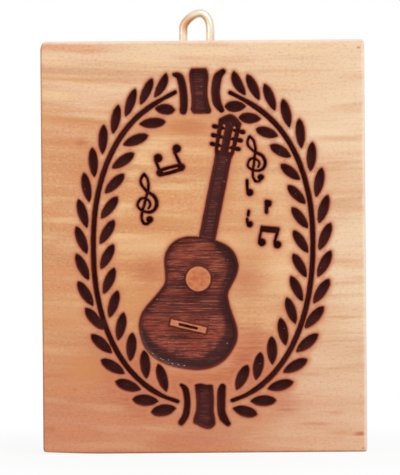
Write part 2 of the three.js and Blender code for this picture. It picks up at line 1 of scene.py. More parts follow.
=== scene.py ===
"""Dresses the carved cookie mould: a scorched hardwood board and its wire hanging ring.

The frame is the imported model's: X to the right, Y away from the viewer and Z up. Shapes are
worked out in millimetres, and become metres when their mesh is made. On the board's face a point
is (x, z).
"""

import logging
import math
from dataclasses import dataclass, field
from enum import Enum

import bmesh
import bpy
import numpy as np
from mathutils import Matrix, Vector
from mathutils.geometry import delaunay_2d_cdt


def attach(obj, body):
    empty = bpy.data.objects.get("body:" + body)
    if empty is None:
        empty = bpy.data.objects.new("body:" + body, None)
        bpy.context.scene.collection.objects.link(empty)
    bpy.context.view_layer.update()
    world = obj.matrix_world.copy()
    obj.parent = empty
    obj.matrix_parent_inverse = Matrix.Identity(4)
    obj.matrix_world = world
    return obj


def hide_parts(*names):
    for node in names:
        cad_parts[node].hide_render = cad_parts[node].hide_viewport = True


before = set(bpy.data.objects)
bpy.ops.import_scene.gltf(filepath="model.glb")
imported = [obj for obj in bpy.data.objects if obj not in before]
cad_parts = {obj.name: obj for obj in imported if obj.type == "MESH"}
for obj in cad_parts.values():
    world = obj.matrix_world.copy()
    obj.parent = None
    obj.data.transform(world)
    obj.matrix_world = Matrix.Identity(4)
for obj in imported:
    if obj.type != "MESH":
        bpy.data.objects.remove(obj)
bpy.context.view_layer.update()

LOG = logging.getLogger("cookie_mould")
MM = 0.001
BOARD_WIDTH = 110.0
BOARD_HEIGHT = 140.0
BOARD_THICKNESS = 20.0
HANGER_X = -1.85
SCREW_HEIGHT = 115.8
BAR_HEIGHT = 136.0

# The height of a triangle with even sides, as a share of a side
TRIANGLE_HEIGHT = 0.87
# Points of a flat area that are closer than this, in millimetres, become one
MERGE_DISTANCE = 1e-5

Colour = tuple[float, float, float, float]
Place = tuple[float, float, float]
WHITE: Colour = (1.0, 1.0, 1.0, 1.0)


def linear(value: int) -> float:
    """Removes the screen's curve from one channel of a colour, from 0 to 255."""
    part = value / 255
    return part / 12.92 if part <= 0.04045 else ((part + 0.055) / 1.055) ** 2.4


def srgb(red: int, green: int, blue: int) -> Colour:
    """Turns a colour as a screen shows it, from 0 to 255, into Blender's linear colour."""
    return (linear(red), linear(green), linear(blue), 1.0)


class Body(Enum):
    """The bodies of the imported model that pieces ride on."""

    MOULD = "mould"
    RING = "ring"


class Node(Enum):
    """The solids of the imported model."""

    BOARD = "mould_board"
    RING = "hanger_ring"
    STRAP = "hanger_strap"
    SCREW = "hanger_screw"


class Slot(Enum):
    """The record's material slots."""

    WOOD = "wood"
    RING = "ring_brass"
    STRAP = "strap_brass"
    SCREW = "screw_brass"


# Finishes


class Reading:
    """A number, vector, colour or shader that a node gives, which can be reckoned with.

    Attributes:
        sheet: The sheet that the node is on.
        socket: The node's output.
    """

    def __init__(self, sheet: "NodeSheet", socket: bpy.types.NodeSocket) -> None:
        """Keeps the sheet that the node is on and the node's output."""
        self.sheet = sheet
        self.socket = socket

    def __add__(self, other: object) -> "Reading":
        """Adds another number."""
        return self.sheet.math("ADD", self, other)

    def __sub__(self, other: object) -> "Reading":
        """Takes another number away."""
        return self.sheet.math("SUBTRACT", self, other)

    def __rsub__(self, other: object) -> "Reading":
        """Takes this number away from another."""
        return self.sheet.math("SUBTRACT", other, self)

    def __mul__(self, other: object) -> "Reading":
        """Multiplies by another number."""
        return self.sheet.math("MULTIPLY", self, other)

    def larger(self, other: object) -> "Reading":
        """Gives the larger of two numbers."""
        return self.sheet.math("MAXIMUM", self, other)

    def smaller(self, other: object) -> "Reading":
        """Gives the smaller of two numbers."""
        return self.sheet.math("MINIMUM", self, other)

    def spread(self, low: float, high: float, start: float = 0.0, end: float = 1.0,
               smooth: bool = True) -> "Reading":
        """Maps the number from one range to another and clamps it there.

        Args:
            low: The value that gives start.
            high: The value that gives end.
            start: The result at low.
            end: The result at high.
            smooth: Whether the result eases in and out.

        Returns:
            The mapped number.
        """
        return self.sheet.add(
            "MapRange", "Result",
            {"Value": self, "From Min": low, "From Max": high, "To Min": start, "To Max": end},
            interpolation_type="SMOOTHSTEP" if smooth else "LINEAR", clamp=True,
        )


class NodeSheet:
    """Adds and joins the nodes of one tree, with a method for each kind that is needed.

    Attributes:
        tree: The tree.
        output: The node that takes its result.
    """

    def __init__(self, tree: bpy.types.NodeTree, output: str) -> None:
        """Empties a tree and gives it an output.

        Args:
            tree: The tree.
            output: The output node's type, without the word that they all start with.
        """
        self.tree = tree
        tree.nodes.clear()
        self.output = tree.nodes.new("ShaderNode" + output)

    def feed(self, value: object, socket: bpy.types.NodeSocket) -> None:
        """Links a reading to an input, or writes a plain value into it.

        Args:
            value: The reading, or a number, place or colour.
            socket: The input.
        """
        if isinstance(value, Reading):
            self.tree.links.new(value.socket, socket)
        else:
            socket.default_value = value

    def add(
        self, kind: str, result: str | int, feeds: dict[str | int, object], **settings: object,
    ) -> Reading:
        """Adds a node, sets it up and feeds it.

        Args:
            kind: The node's type, without the word that they all start with.
            result: The name or number of the output that is wanted.
            feeds: What goes into its inputs, by their names or numbers.
            settings: The node's own settings.

        Returns:
            What the output gives.
        """
        node = self.tree.nodes.new("ShaderNode" + kind)
        for name, setting in settings.items():
            setattr(node, name, setting)
        for name, value in feeds.items():
            self.feed(value, node.inputs[name])
        return Reading(self, node.outputs[result])

    def math(self, operation: str, first: object, second: object = 0.0) -> Reading:
        """Joins two numbers with one arithmetic operation."""
        return self.add("Math", "Value", {0: first, 1: second}, operation=operation)

    def vector(self, x: object, y: object, z: object) -> Reading:
        """Joins three numbers into a vector."""
        return self.add("CombineXYZ", "Vector", {"X": x, "Y": y, "Z": z})

    def length(self, vector: Reading) -> Reading:
        """Gives a vector's length."""
        return self.add("VectorMath", "Value", {0: vector}, operation="LENGTH")

    def attribute(self, name: str) -> Reading:
        """Reads a number that the mesh stores at each point."""
        return self.add("Attribute", "Fac", {}, attribute_name=name)

    def noise(
        self, vector: Reading, detail: float, roughness: float = 0.55, distortion: float = 0.0,
    ) -> Reading:
        """Gives soft noise around 0.5, whose clouds are about as large as the vector's unit.

        Args:
            vector: The coordinates.
            detail: How many finer layers it has.
            roughness: How strong each finer layer is.
            distortion: How far the clouds are drawn out of shape.

        Returns:
            The noise.
        """
        feeds = {"Vector": vector, "Scale": 1.0, "Detail": detail, "Roughness": roughness}
        return self.add("TexNoise", "Fac", feeds | {"Distortion": distortion})

    def mix(self, share: object, first: object, second: object) -> Reading:
        """Mixes two colours, by the second one's share."""
        return self.add("Mix", 2, {"Factor": share, 6: first, 7: second}, data_type="RGBA")

    def layered(self, colour: object, *layers: tuple[Reading, object]) -> Reading:
        """Lays colours over another one, in order.

        Args:
            colour: The colour underneath.
            layers: Each layer's share and colour.

        Returns:
            The colour that comes out.
        """
        for share, tone in layers:
            colour = self.mix(share, colour, tone)
        return colour

    def bump(self, height: object, distance: float, strength: float) -> Reading:
        """Turns a height into a surface normal."""
        return self.add("Bump", "Normal", {"Distance": distance, "Strength": strength, "Height": height})

    def blend(self, share: Reading, first: Reading, second: Reading) -> None:
        """Mixes two shaders, by the second one's share, and makes that the tree's result."""
        mixture = self.add("MixShader", "Shader", {"Fac": share, 1: first, 2: second})
        self.feed(mixture, self.output.inputs["Surface"])

    def seen(self) -> Reading:
        """Tells what is seen, straight, mirrored or through glass, from what only gives light.

        Returns:
            1 where it is seen, and 0 elsewhere.
        """
        rays = self.tree.nodes.new("ShaderNodeLightPath").outputs
        straight, mirrored, through = (
            Reading(self, rays[name]) for name in ("Is Camera Ray", "Is Glossy Ray", "Is Transmission Ray")
        )
        return straight.larger(mirrored).larger(through)


class ShaderSheet(NodeSheet):
    """The node sheet of a material with a Principled shader.

    Attributes:
        material: The material.
        shader: Its Principled shader.
        surface: What that shader gives.
        place: The object's coordinates, in metres.
        axes: The same as three single numbers.
    """

    def __init__(self, name: str) -> None:
        """Starts the material.

        Args:
            name: The material's name.
        """
        self.material = bpy.data.materials.new(name)
        self.material.use_nodes = True
        super().__init__(self.material.node_tree, "OutputMaterial")
        self.shader = self.tree.nodes.new("ShaderNodeBsdfPrincipled")
        self.surface = Reading(self, self.shader.outputs["BSDF"])
        self.feed(self.surface, self.output.inputs["Surface"])
        self.place = self.add("TexCoord", "Object", {})
        split = self.tree.nodes.new("ShaderNodeSeparateXYZ")
        self.feed(self.place, split.inputs["Vector"])
        self.axes = split.outputs

    def axis(self, letter: str) -> Reading:
        """Gives one of the object's coordinates, in metres."""
        return Reading(self, self.axes[letter])

    def stretched(self, x: float, y: float, z: float) -> Reading:
        """Gives the object's coordinates in millimetres, multiplied along each axis."""
        return self.add("Mapping", "Vector", {"Scale": (x / MM, y / MM, z / MM), "Vector": self.place})

    def placed(self, middle: Place, half: Place, tilt: float = 0.0) -> Reading:
        """Gives the object's coordinates from a middle, in shares of half sizes.

        Args:
            middle: The middle in millimetres.
            half: The distance in millimetres along each axis that counts as 1.
            tilt: A turn about Y, in degrees, that lifts the right end.

        Returns:
            The vector.
        """
        feeds = {
            "Location": [part * MM for part in middle],
            "Rotation": (0.0, math.radians(-tilt), 0.0),
            "Scale": [part * MM for part in half],
            "Vector": self.place,
        }
        return self.add("Mapping", "Vector", feeds, vector_type="TEXTURE")

    def finish(self, **sockets: object) -> bpy.types.Material:
        """Feeds the shader's named sockets.

        Args:
            sockets: What goes into each, by its name with underscores for spaces.

        Returns:
            The material.
        """
        for name, value in sockets.items():
            self.feed(value, self.shader.inputs[name.replace("_", " ")])
        return self.material


class Tone(Enum):
    """The colours of the marks on the plank."""

    PALE = srgb(240, 210, 176)
    CREAM = srgb(238, 196, 148)
    AMBER = srgb(204, 136, 84)
    SCORCH = srgb(184, 96, 62)
    STAIN = srgb(138, 70, 42)


@dataclass(frozen=True)
class Mark:
    """A soft mark on the carved face.

    Attributes:
        tone: Its colour.
        x: Its middle across the board, in millimetres.
        z: Its middle up the board.
        half_width: Half its width.
        half_height: Half its height.
        strength: How much of its colour shows.
        tilt: How far it leans, in degrees.
    """

    tone: Tone
    x: float
    z: float
    half_width: float
    half_height: float
    strength: float
    tilt: float = 0.0


@dataclass(frozen=True)
class ScorchedHardwood:
    """Pale oiled hardwood with the grain across the board, and recesses burnt nearly black.

    Attributes:
        pale: The paler colour above and to the right.
        warm: The colour on the left.
        red: The redder colour on the left of the foot.
        amber: The wood within the wreath.
        streak: The darker bands and lines.
        cream: The light clouds and flecks.
        orange: The dark clouds.
        heat: The wood that the iron has warmed.
        rim: The wood right at the carving's edges.
        fringe: The soot round them, and the dark flecks.
        wear_and_edge_highlight: The painted highlight on the rounded edges above and on the right.
        shaded: The painted shade on the rounded edges below and on the left.
        brown: The walls of the recesses.
        char: Their floors.
        coal: The blackest floor, along the guitar's edge.
        toasted: The brown middle of the guitar.
        plum: The darker clouds in it.
        ashen: The light streaks in it.
        disc: The sound hole's disc.
        lower_left_grey: The greyer colour along the guitar's lower left edge.
        dust: The crumbs in the recesses.
        bow: How much the grain lines curve, per metre.
        bow_middle: The x about which they curve, in metres.
        pith: The y and z of the middle of the growth rings, in metres.
        face: The y of the carved face, in millimetres.
        mark_depth: How deep the marks reach into the board, in millimetres.
        marks: The soft marks on the face, in the order in which they are laid.
    """

    pale: Colour = srgb(234, 203, 169)
    warm: Colour = srgb(211, 150, 104)
    red: Colour = srgb(204, 135, 100)
    amber: Colour = srgb(219, 158, 98)
    streak: Colour = srgb(190, 122, 78)
    cream: Colour = srgb(238, 200, 150)
    orange: Colour = srgb(210, 136, 88)
    heat: Colour = srgb(200, 118, 74)
    rim: Colour = srgb(206, 134, 104)
    fringe: Colour = srgb(146, 80, 56)
    # A painted highlight and a painted shade for the rounded edges of the carved face
    wear_and_edge_highlight: Colour = srgb(244, 220, 204)
    shaded: Colour = srgb(164, 104, 74)
    brown: Colour = srgb(126, 44, 24)
    char: Colour = srgb(73, 26, 25)
    coal: Colour = srgb(50, 20, 21)
    toasted: Colour = srgb(148, 64, 46)
    plum: Colour = srgb(88, 36, 32)
    ashen: Colour = srgb(184, 112, 88)
    disc: Colour = srgb(180, 94, 54)
    lower_left_grey: Colour = srgb(110, 90, 84)
    dust: Colour = srgb(214, 190, 178)
    bow: float = 0.5
    bow_middle: float = 0.02
    pith: tuple[float, float] = (0.05, -0.06)
    face: float = -BOARD_THICKNESS / 2
    mark_depth: float = 6.0
    marks: tuple[Mark, ...] = (
        Mark(Tone.CREAM, -12.0, 70.5, 50.0, 5.0, 0.45),
        Mark(Tone.CREAM, 28.0, 62.0, 9.0, 14.0, 0.35),
        Mark(Tone.PALE, 38.0, 111.0, 20.0, 11.0, 0.6),
        Mark(Tone.PALE, -8.0, 135.0, 24.0, 6.0, 0.2),
        Mark(Tone.PALE, -14.0, 124.0, 14.0, 5.0, 0.5),
        Mark(Tone.PALE, -36.0, 119.0, 16.0, 5.0, 0.3),
        Mark(Tone.AMBER, 15.0, 66.0, 9.0, 26.0, 0.4),
        Mark(Tone.AMBER, 38.0, 44.0, 15.0, 11.0, 0.3),
        Mark(Tone.AMBER, 17.0, 10.0, 12.0, 8.0, 0.4),
        Mark(Tone.AMBER, 44.0, 92.0, 24.0, 13.0, 0.35),
        Mark(Tone.AMBER, -46.0, 48.0, 22.0, 13.0, 0.35),
        Mark(Tone.AMBER, -45.0, 127.1, 17.0, 1.5, 0.55, -3.0),
        Mark(Tone.AMBER, -44.0, 113.3, 20.0, 1.6, 0.9, -4.0),
        Mark(Tone.AMBER, -48.0, 105.7, 10.0, 2.4, 0.4),
        Mark(Tone.AMBER, -39.0, 98.0, 7.0, 12.0, 0.6),
        Mark(Tone.AMBER, 0.0, 79.1, 64.0, 1.8, 0.6),
        Mark(Tone.AMBER, -14.0, 77.6, 20.0, 1.5, 0.4),
        Mark(Tone.AMBER, -49.0, 84.2, 9.0, 1.7, 0.4),
        Mark(Tone.AMBER, -48.0, 61.1, 10.0, 2.8, 0.4),
        Mark(Tone.AMBER, 47.0, 106.4, 14.0, 1.4, 0.45),
        Mark(Tone.AMBER, 44.0, 65.0, 14.0, 1.4, 0.3),
        Mark(Tone.AMBER, 47.0, 45.8, 10.0, 0.7, 0.5),
        Mark(Tone.AMBER, -47.0, 45.8, 10.0, 1.4, 0.35),
        Mark(Tone.AMBER, -8.0, 111.0, 30.0, 6.5, 0.8),
        Mark(Tone.AMBER, 6.5, 92.0, 6.0, 20.0, 0.8, -8.0),
        Mark(Tone.SCORCH, -41.2, 105.7, 2.8, 1.9, 0.6),
        Mark(Tone.SCORCH, -18.0, 61.4, 9.0, 6.5, 0.6),
        Mark(Tone.SCORCH, 14.0, 57.5, 9.0, 9.0, 0.45),
        Mark(Tone.SCORCH, 16.0, 38.5, 9.0, 8.0, 0.6),
        Mark(Tone.SCORCH, -4.2, 110.8, 10.0, 3.4, 0.5),
        Mark(Tone.SCORCH, -27.0, 30.0, 16.0, 12.0, 1.0),
        Mark(Tone.SCORCH, 16.0, 28.0, 15.0, 13.0, 1.0),
        Mark(Tone.SCORCH, -4.0, 22.5, 23.0, 8.0, 0.85),
        Mark(Tone.SCORCH, -20.0, 18.5, 14.0, 9.0, 0.85),
        Mark(Tone.AMBER, -20.0, 50.0, 11.0, 9.0, 0.7),
        Mark(Tone.AMBER, -40.0, 29.0, 16.0, 9.0, 0.8),
        Mark(Tone.SCORCH, 0.0, 6.0, 20.0, 6.0, 0.4),
        Mark(Tone.SCORCH, 27.0, 17.0, 8.0, 6.0, 0.45),
        Mark(Tone.SCORCH, 28.0, 14.6, 4.5, 0.8, 0.5),
        Mark(Tone.SCORCH, 37.1, 9.7, 8.0, 0.7, 0.4),
        Mark(Tone.STAIN, 53.0, 137.1, 0.9, 0.6, 0.75),
        Mark(Tone.SCORCH, 52.7, 6.3, 3.4, 1.0, 1.0),
        Mark(Tone.AMBER, 47.0, 6.4, 8.0, 1.1, 0.5),
        Mark(Tone.AMBER, 44.2, 13.3, 4.0, 0.9, 0.5),
        Mark(Tone.SCORCH, -44.1, 22.0, 1.8, 0.6, 0.4),
        Mark(Tone.SCORCH, -52.0, 26.5, 9.0, 1.2, 0.3),
        Mark(Tone.SCORCH, -52.5, 8.6, 2.8, 1.4, 0.4),
        Mark(Tone.STAIN, -28.5, 129.5, 0.3, 0.2, 0.7),
        Mark(Tone.STAIN, 53.6, 1.2, 0.7, 0.6, 0.5),
    )

    def flowing(self, sheet: ShaderSheet, along: float, across: float) -> Reading:
        """Gives coordinates that follow the grain: along it, and outwards through the growth rings.

        Args:
            sheet: The material's node sheet.
            along: How many units a millimetre along the grain is.
            across: How many units a millimetre across the rings is.

        Returns:
            The coordinates.
        """
        aside = sheet.axis("X") - self.bow_middle
        level = sheet.axis("Z") - aside * aside * self.bow - self.pith[1]
        depth = sheet.axis("Y") - self.pith[0]
        ring = sheet.math("SQRT", level * level + depth * depth)
        level_scale, ring_scale = along / MM, across / MM
        return sheet.vector(
            sheet.axis("X") * level_scale, sheet.axis("Y") * level_scale, ring * ring_scale,
        )

    def tinted(self, sheet: ShaderSheet) -> Reading:
        """Lays the broad colours: paler above and to the right, redder towards the foot.

        Args:
            sheet: The material's node sheet.

        Returns:
            The colour.
        """
        slow = sheet.noise(self.flowing(sheet, 0.008, 0.03), 2.0)
        height = sheet.axis("Z") * (1 / (BOARD_HEIGHT * MM)) + (slow - 0.5) * 0.3
        aside = sheet.axis("X").spread(-0.012, 0.054, smooth=False) * height.spread(0.0, 0.4, 0.5, 1.0)
        leaning = height + sheet.axis("X") * 1.4
        share = aside.larger(leaning.spread(0.66, 1.04, smooth=False))
        low = sheet.mix(height.spread(0.38, 0.1), self.warm, self.red)
        return sheet.mix(share, low, self.pale)

    def grained(self, sheet: ShaderSheet, colour: Reading) -> Reading:
        """Draws the grain: wide bands, fine streaks, cream and orange clouds, flecks and dark pores.

        Args:
            sheet: The material's node sheet.
            colour: The plank's broad colour.

        Returns:
            The colour.
        """
        bands = sheet.noise(self.flowing(sheet, 0.011, 0.16), 4.0, 0.55, 0.5)
        lines = sheet.noise(self.flowing(sheet, 0.1, 1.5), 4.0, 0.6, 0.3)
        clouds = sheet.noise(self.flowing(sheet, 0.035, 0.34), 1.0, 0.5)
        flecks = sheet.noise(sheet.stretched(0.9, 1.0, 1.5), 2.0, 0.6)
        pores = sheet.noise(sheet.stretched(0.3, 3.2, 3.4), 2.0, 0.5)
        leftward = sheet.axis("X").spread(-0.01, 0.045, 0.6, 0.3)
        upward = sheet.axis("Z").spread(0.02, 0.1, 0.35, 1.0)
        lit = sheet.axis("Z").spread(0.0, 0.08, 0.1, 0.32)
        return sheet.layered(
            colour,
            (bands.spread(0.5, 0.68, 0.0, 0.4), self.streak),
            (bands.spread(0.48, 0.3, 0.0, 0.3), self.pale),
            (lines.spread(0.5, 0.7, 0.0, 0.14), self.streak),
            (leftward * clouds.spread(0.5, 0.75), self.orange),
            (leftward * upward * clouds.spread(0.5, 0.25), self.cream),
            (flecks.spread(0.5, 0.74, 0.0, 0.24), self.fringe),
            (lit * flecks.spread(0.5, 0.26), self.cream),
            (pores.spread(0.6, 0.76, 0.0, 0.26), Tone.STAIN.value),
        )

    def marked(self, sheet: ShaderSheet, colour: Reading) -> Reading:
        """Adds the marks.

        Args:
            sheet: The material's node sheet.
            colour: The colour under them.

        Returns:
            The colour.
        """
        streaky = sheet.noise(sheet.stretched(0.12, 0.6, 1.0), 4.0, 0.65)
        ragged = (streaky - 0.5) * 1.4
        for mark in self.marks:
            half = (mark.half_width, self.mark_depth, mark.half_height)
            away = sheet.length(sheet.placed((mark.x, self.face, mark.z), half, mark.tilt))
            share = (away + ragged).spread(1.2, 0.0, 0.0, mark.strength)
            colour = sheet.mix(share, colour, mark.tone.value)
        return colour

    def edged(self, sheet: ShaderSheet, colour: Reading) -> Reading:
        """Paints a highlight on the rounded edges above and on the right, and paints shade on those below
        and on the left, as a light from the upper right would fall on them.

        Args:
            sheet: The material's node sheet.
            colour: The colour of the rest.

        Returns:
            The colour.
        """
        blotchy = sheet.noise(sheet.stretched(0.3, 0.3, 0.3), 3.0)
        ragged = (blotchy - 0.5) * MM
        front = sheet.axis("Y").spread(-8.6 * MM, -9.4 * MM)
        left = sheet.axis("X") + BOARD_WIDTH / 2 * MM
        right = BOARD_WIDTH / 2 * MM - sheet.axis("X")
        above = BOARD_HEIGHT * MM - sheet.axis("Z")
        # Painted highlight on the upper and right edges, then painted shade on the lower and left ones
        for first, second, width, strength, tone in (
            (right, above, 1.5, 0.75, self.wear_and_edge_highlight),
            (left, sheet.axis("Z"), 0.9, 0.55, self.shaded),
        ):
            edge = first.smaller(second) + ragged
            colour = sheet.mix(front * edge.spread(width * MM, 0.2 * MM, 0.0, strength), colour, tone)
        return colour

    def burnt(self, sheet: ShaderSheet, colour: Reading) -> Reading:
        """Burns the recesses, by each point's distance inside the carving's edges.

        Args:
            sheet: The material's node sheet.
            colour: The plain wood's colour.

        Returns:
            The colour.
        """
        inside, guitar = sheet.attribute("inside"), sheet.attribute("guitar")
        ragged = sheet.noise(sheet.stretched(1.0, 1.0, 1.8), 3.0)
        shaky = inside + (ragged - 0.5) * 0.34
        patchy = sheet.noise(sheet.stretched(0.1, 0.1, 0.16), 3.0).spread(0.36, 0.64, 0.2, 1.0)
        heated = patchy * sheet.axis("Z").spread(0.12, 0.01, 0.12, 0.75) * inside.spread(-2.35, -0.5)
        island = guitar.spread(1.0, 3.0) * shaky.spread(-0.1, -0.9, 0.3, 0.95)
        mottled = sheet.noise(sheet.stretched(0.5, 0.5, 0.7), 2.0)
        disc = sheet.mix(mottled.spread(0.34, 0.62), self.disc, self.heat)
        sooty = guitar.spread(3.0, 1.0, 0.35, 1.0) * shaky.spread(-0.8, -0.1, 0.0, 0.6)
        within = sheet.mix(shaky.spread(0.0, 1.05), self.brown, self.floor(sheet, inside, guitar))

        # Greyer, with more pale specks, along the guitar's lower left edge
        foot = guitar.spread(-0.2, 0.3) * guitar.spread(1.8, 0.6)
        foot = foot * sheet.axis("Z").spread(0.05, 0.03) * sheet.axis("X").spread(0.0, -0.012)
        crumbs = sheet.noise(sheet.stretched(1.2, 1.2, 1.2), 1.0) + foot * 0.17
        return sheet.layered(
            colour,
            (heated, self.heat),
            (shaky.spread(-1.6, -0.3, 0.0, 0.6), self.rim),
            (island, disc),
            (sooty, self.fringe),
            (shaky.spread(-0.14, 0.18), within),
            (foot * 0.35, self.lower_left_grey),
            (inside.spread(-0.1, 0.3) * crumbs.spread(0.77, 0.82, 0.0, 0.7), self.dust),
        )

    def floor(self, sheet: ShaderSheet, inside: Reading, guitar: Reading) -> Reading:
        """Burns the recesses' floors, and leaves the guitar's browner and streaked in its middle.

        Args:
            sheet: The material's node sheet.
            inside: The distance inside the carving's edges.
            guitar: The distance inside the guitar's body.

        Returns:
            The colour.
        """
        across, up = sheet.axis("X"), sheet.axis("Z")
        cloudy = sheet.noise(sheet.stretched(0.09, 0.1, 0.2), 3.0)
        patchy = sheet.noise(sheet.stretched(0.16, 0.2, 0.34), 4.0, 0.6)
        combed = sheet.noise(sheet.stretched(0.1, 1.0, 3.2), 3.0, 0.6)
        dusted = sheet.noise(sheet.stretched(0.35, 1.0, 3.8), 3.0, 0.6)
        speckled = sheet.noise(sheet.stretched(0.9, 0.9, 1.3), 2.0)
        hollow = sheet.length(sheet.placed((-2.4, self.face, 59.0), (7.0, 20.0, 6.0)))
        hollow = hollow.spread(1.4, 0.7, 0.0, 0.14)
        margin = across.spread(-0.003, 0.009, 1.3, 3.9, smooth=False)
        margin = margin + up.spread(0.045, 0.034, 0.0, 2.9) - up.spread(0.068, 0.073, 0.0, 1.6)
        warmth = (guitar - margin + cloudy * 4.0).spread(0.6, 3.6) * guitar.spread(0.1, 1.0)
        middle = sheet.mix((patchy + hollow).spread(0.42, 0.72), self.toasted, self.plum)
        bare = warmth.spread(0.0, 0.6).larger(inside.spread(1.2, 2.0, 0.0, 0.22))
        grooved = sheet.math("ABSOLUTE", up - 0.051).spread(0.008, 0.002, 0.0, 0.08)
        dark = (combed + grooved).spread(0.49, 0.6, 0.0, 0.85)
        return sheet.layered(
            sheet.mix(guitar.spread(0.2, 1.4), self.char, self.coal),
            (warmth, middle),
            (inside.spread(1.1, 1.8) * combed.spread(0.48, 0.36, 0.0, 0.42), self.toasted),
            (bare * dusted.spread(0.5, 0.66, 0.0, 0.7), self.ashen),
            (dark * guitar.spread(-0.5, 0.5), self.char),
            (speckled.spread(0.62, 0.76, 0.0, 0.3), self.toasted),
        )

    def material(self) -> bpy.types.Material:
        """Makes the material.

        Returns:
            The finished material.
        """
        sheet = ShaderSheet("scorched_hardwood")
        oval = sheet.attribute("wreath").spread(-4.0, 5.0, 0.0, 0.45)
        colour = self.grained(sheet, sheet.mix(oval, self.tinted(sheet), self.amber))
        colour = self.burnt(sheet, self.edged(sheet, self.marked(sheet, colour)))
        fine = sheet.noise(sheet.stretched(0.12, 2.2, 2.8), 4.0, 0.6)
        rough = sheet.noise(sheet.stretched(1.1, 1.1, 2.0), 3.0)
        return sheet.finish(
            Base_Color=colour,
            Roughness=sheet.attribute("inside").spread(-0.3, 0.3, 0.5, 0.78),
            Normal=sheet.bump(fine * 0.5 + rough * 0.3, 0.00012, 0.6),
            Specular_IOR_Level=0.3,
        )


@dataclass(frozen=True)
class Brass:
    """Brass, from a polished wire to a satin sheet.

    Attributes:
        name: The material's name.
        bright: The metal's colour.
        dull: The colour of its faint oxidation, in clouds, and of the painted reflection where there is
            one.
        roughness: How blurred its reflections are.
        scratch: The scale of the rolling or turning marks along each axis, per millimetre.
        painted_reflection: The middle of a painted reflection, a darker place, in millimetres.
        painted_reflection_reach: How far the painted reflection reaches, or 0 for none.
    """

    name: str
    bright: Colour
    dull: Colour
    roughness: float
    scratch: Place
    painted_reflection: Place = (0.0, 0.0, 0.0)
    painted_reflection_reach: float = 0.0

    def material(self) -> bpy.types.Material:
        """Makes the material.

        Returns:
            The finished material.
        """
        sheet = ShaderSheet(self.name)
        clouds = sheet.noise(sheet.stretched(0.25, 0.25, 0.25), 4.0)
        marks = sheet.noise(sheet.stretched(*self.scratch), 3.0, 0.6)
        share = clouds.spread(0.42, 0.68, 0.0, 0.7)
        # A painted reflection: the metal turns to the dull colour round one point
        if self.painted_reflection_reach:
            away = sheet.length(sheet.placed(self.painted_reflection, (self.painted_reflection_reach,) * 3))
            share = (share * 0.4).larger(away.spread(1.0, 0.3))
        return sheet.finish(
            Base_Color=sheet.mix(share, self.bright, self.dull),
            Metallic=1.0,
            Roughness=clouds.spread(0.35, 0.7, self.roughness, self.roughness + 0.14),
            Normal=sheet.bump(marks, 0.00003, 0.35),
        )


# Shapes


# The corners of a square round the middle, anticlockwise
SQUARE = np.array(((-1, -1), (1, -1), (1, 1), (-1, 1)))


def circle(sides: int) -> np.ndarray:
    """Gives the cosines and the sines of even steps round a circle."""
    turns = np.linspace(0, 2 * math.pi, sides, endpoint=False)
    return np.array((np.cos(turns), np.sin(turns)))


def mesh_places(mesh: bpy.types.Mesh) -> np.ndarray:
    """Reads a mesh's points.

    Args:
        mesh: The mesh.

    Returns:
        A row of x, y and z for each point, in millimetres.
    """
    places = np.empty(len(mesh.vertices) * 3)
    mesh.vertices.foreach_get("co", places)
    return places.reshape(-1, 3) / MM


def linked(name: str, data: bpy.types.ID) -> bpy.types.Object:
    """Makes an object and links it to the scene.

    Args:
        name: The object's name.
        data: Its mesh, light or camera.

    Returns:
        The object.
    """
    made = bpy.data.objects.new(name, data)
    bpy.context.scene.collection.objects.link(made)
    return made


@dataclass
class Skin:
    """The points and faces of a shape that is being put together, in millimetres.

    Attributes:
        places: The points, in the groups that they were added in.
        faces: The faces, as point numbers.
        count: How many points there are.
    """

    places: list[np.ndarray] = field(default_factory=list)
    faces: list[list[int]] = field(default_factory=list)
    count: int = 0

    def add(self, x: object, y: object, z: object) -> np.ndarray:
        """Adds points.

        Args:
            x: Their x, as one number each or one for all.
            y: Their y, in the same way.
            z: Their z, in the same way.

        Returns:
            The points' numbers.
        """
        points = np.stack(np.broadcast_arrays(x, y, z), axis=1)
        self.places.append(points)
        self.count += len(points)
        return np.arange(self.count - len(points), self.count)

    def join(self, first: np.ndarray, second: np.ndarray) -> None:
        """Joins two closed rings of points with four-sided faces."""
        around = (first, second, np.roll(second, -1), np.roll(first, -1))
        self.faces += np.stack(around, axis=1).tolist()

    def tube(self, rings: list[np.ndarray]) -> None:
        """Joins closed rings of points in their order, and closes both ends.

        Args:
            rings: The rings, as point numbers.
        """
        for first, second in zip(rings, rings[1:]):
            self.join(first, second)
        self.faces += [rings[0].tolist(), rings[-1].tolist()]

    def make(self, name: str, turning: bool = True) -> bpy.types.Object:
        """Makes the object.

        Args:
            name: The object's name.
            turning: Whether its faces are turned outwards, or stay as they were added.

        Returns:
            The object.
        """
        mesh = bpy.data.meshes.new(name)
        mesh.from_pydata((np.concatenate(self.places) * MM).tolist(), [], self.faces)
        if turning:
            work = bmesh.new()
            work.from_mesh(mesh)
            bmesh.ops.recalc_face_normals(work, faces=work.faces)
            work.to_mesh(mesh)
            work.free()
        return linked(name, mesh)


def turned(name: str, profile: list[tuple[float, float]], foot: Place, sides: int) -> bpy.types.Object:
    """Turns a solid about a line that runs out of the board's back.

    Args:
        name: The object's name.
        profile: Radius and distance out of the foot, from one end to the other.
        foot: The place that the distances are counted from.
        sides: How many sides the solid has.

    Returns:
        The solid.
    """
    cosines, sines = circle(sides)
    skin = Skin()
    skin.tube([
        skin.add(foot[0] + radius * cosines, foot[1] + out, foot[2] + radius * sines)
        for radius, out in profile
    ])
    return skin.make(name)


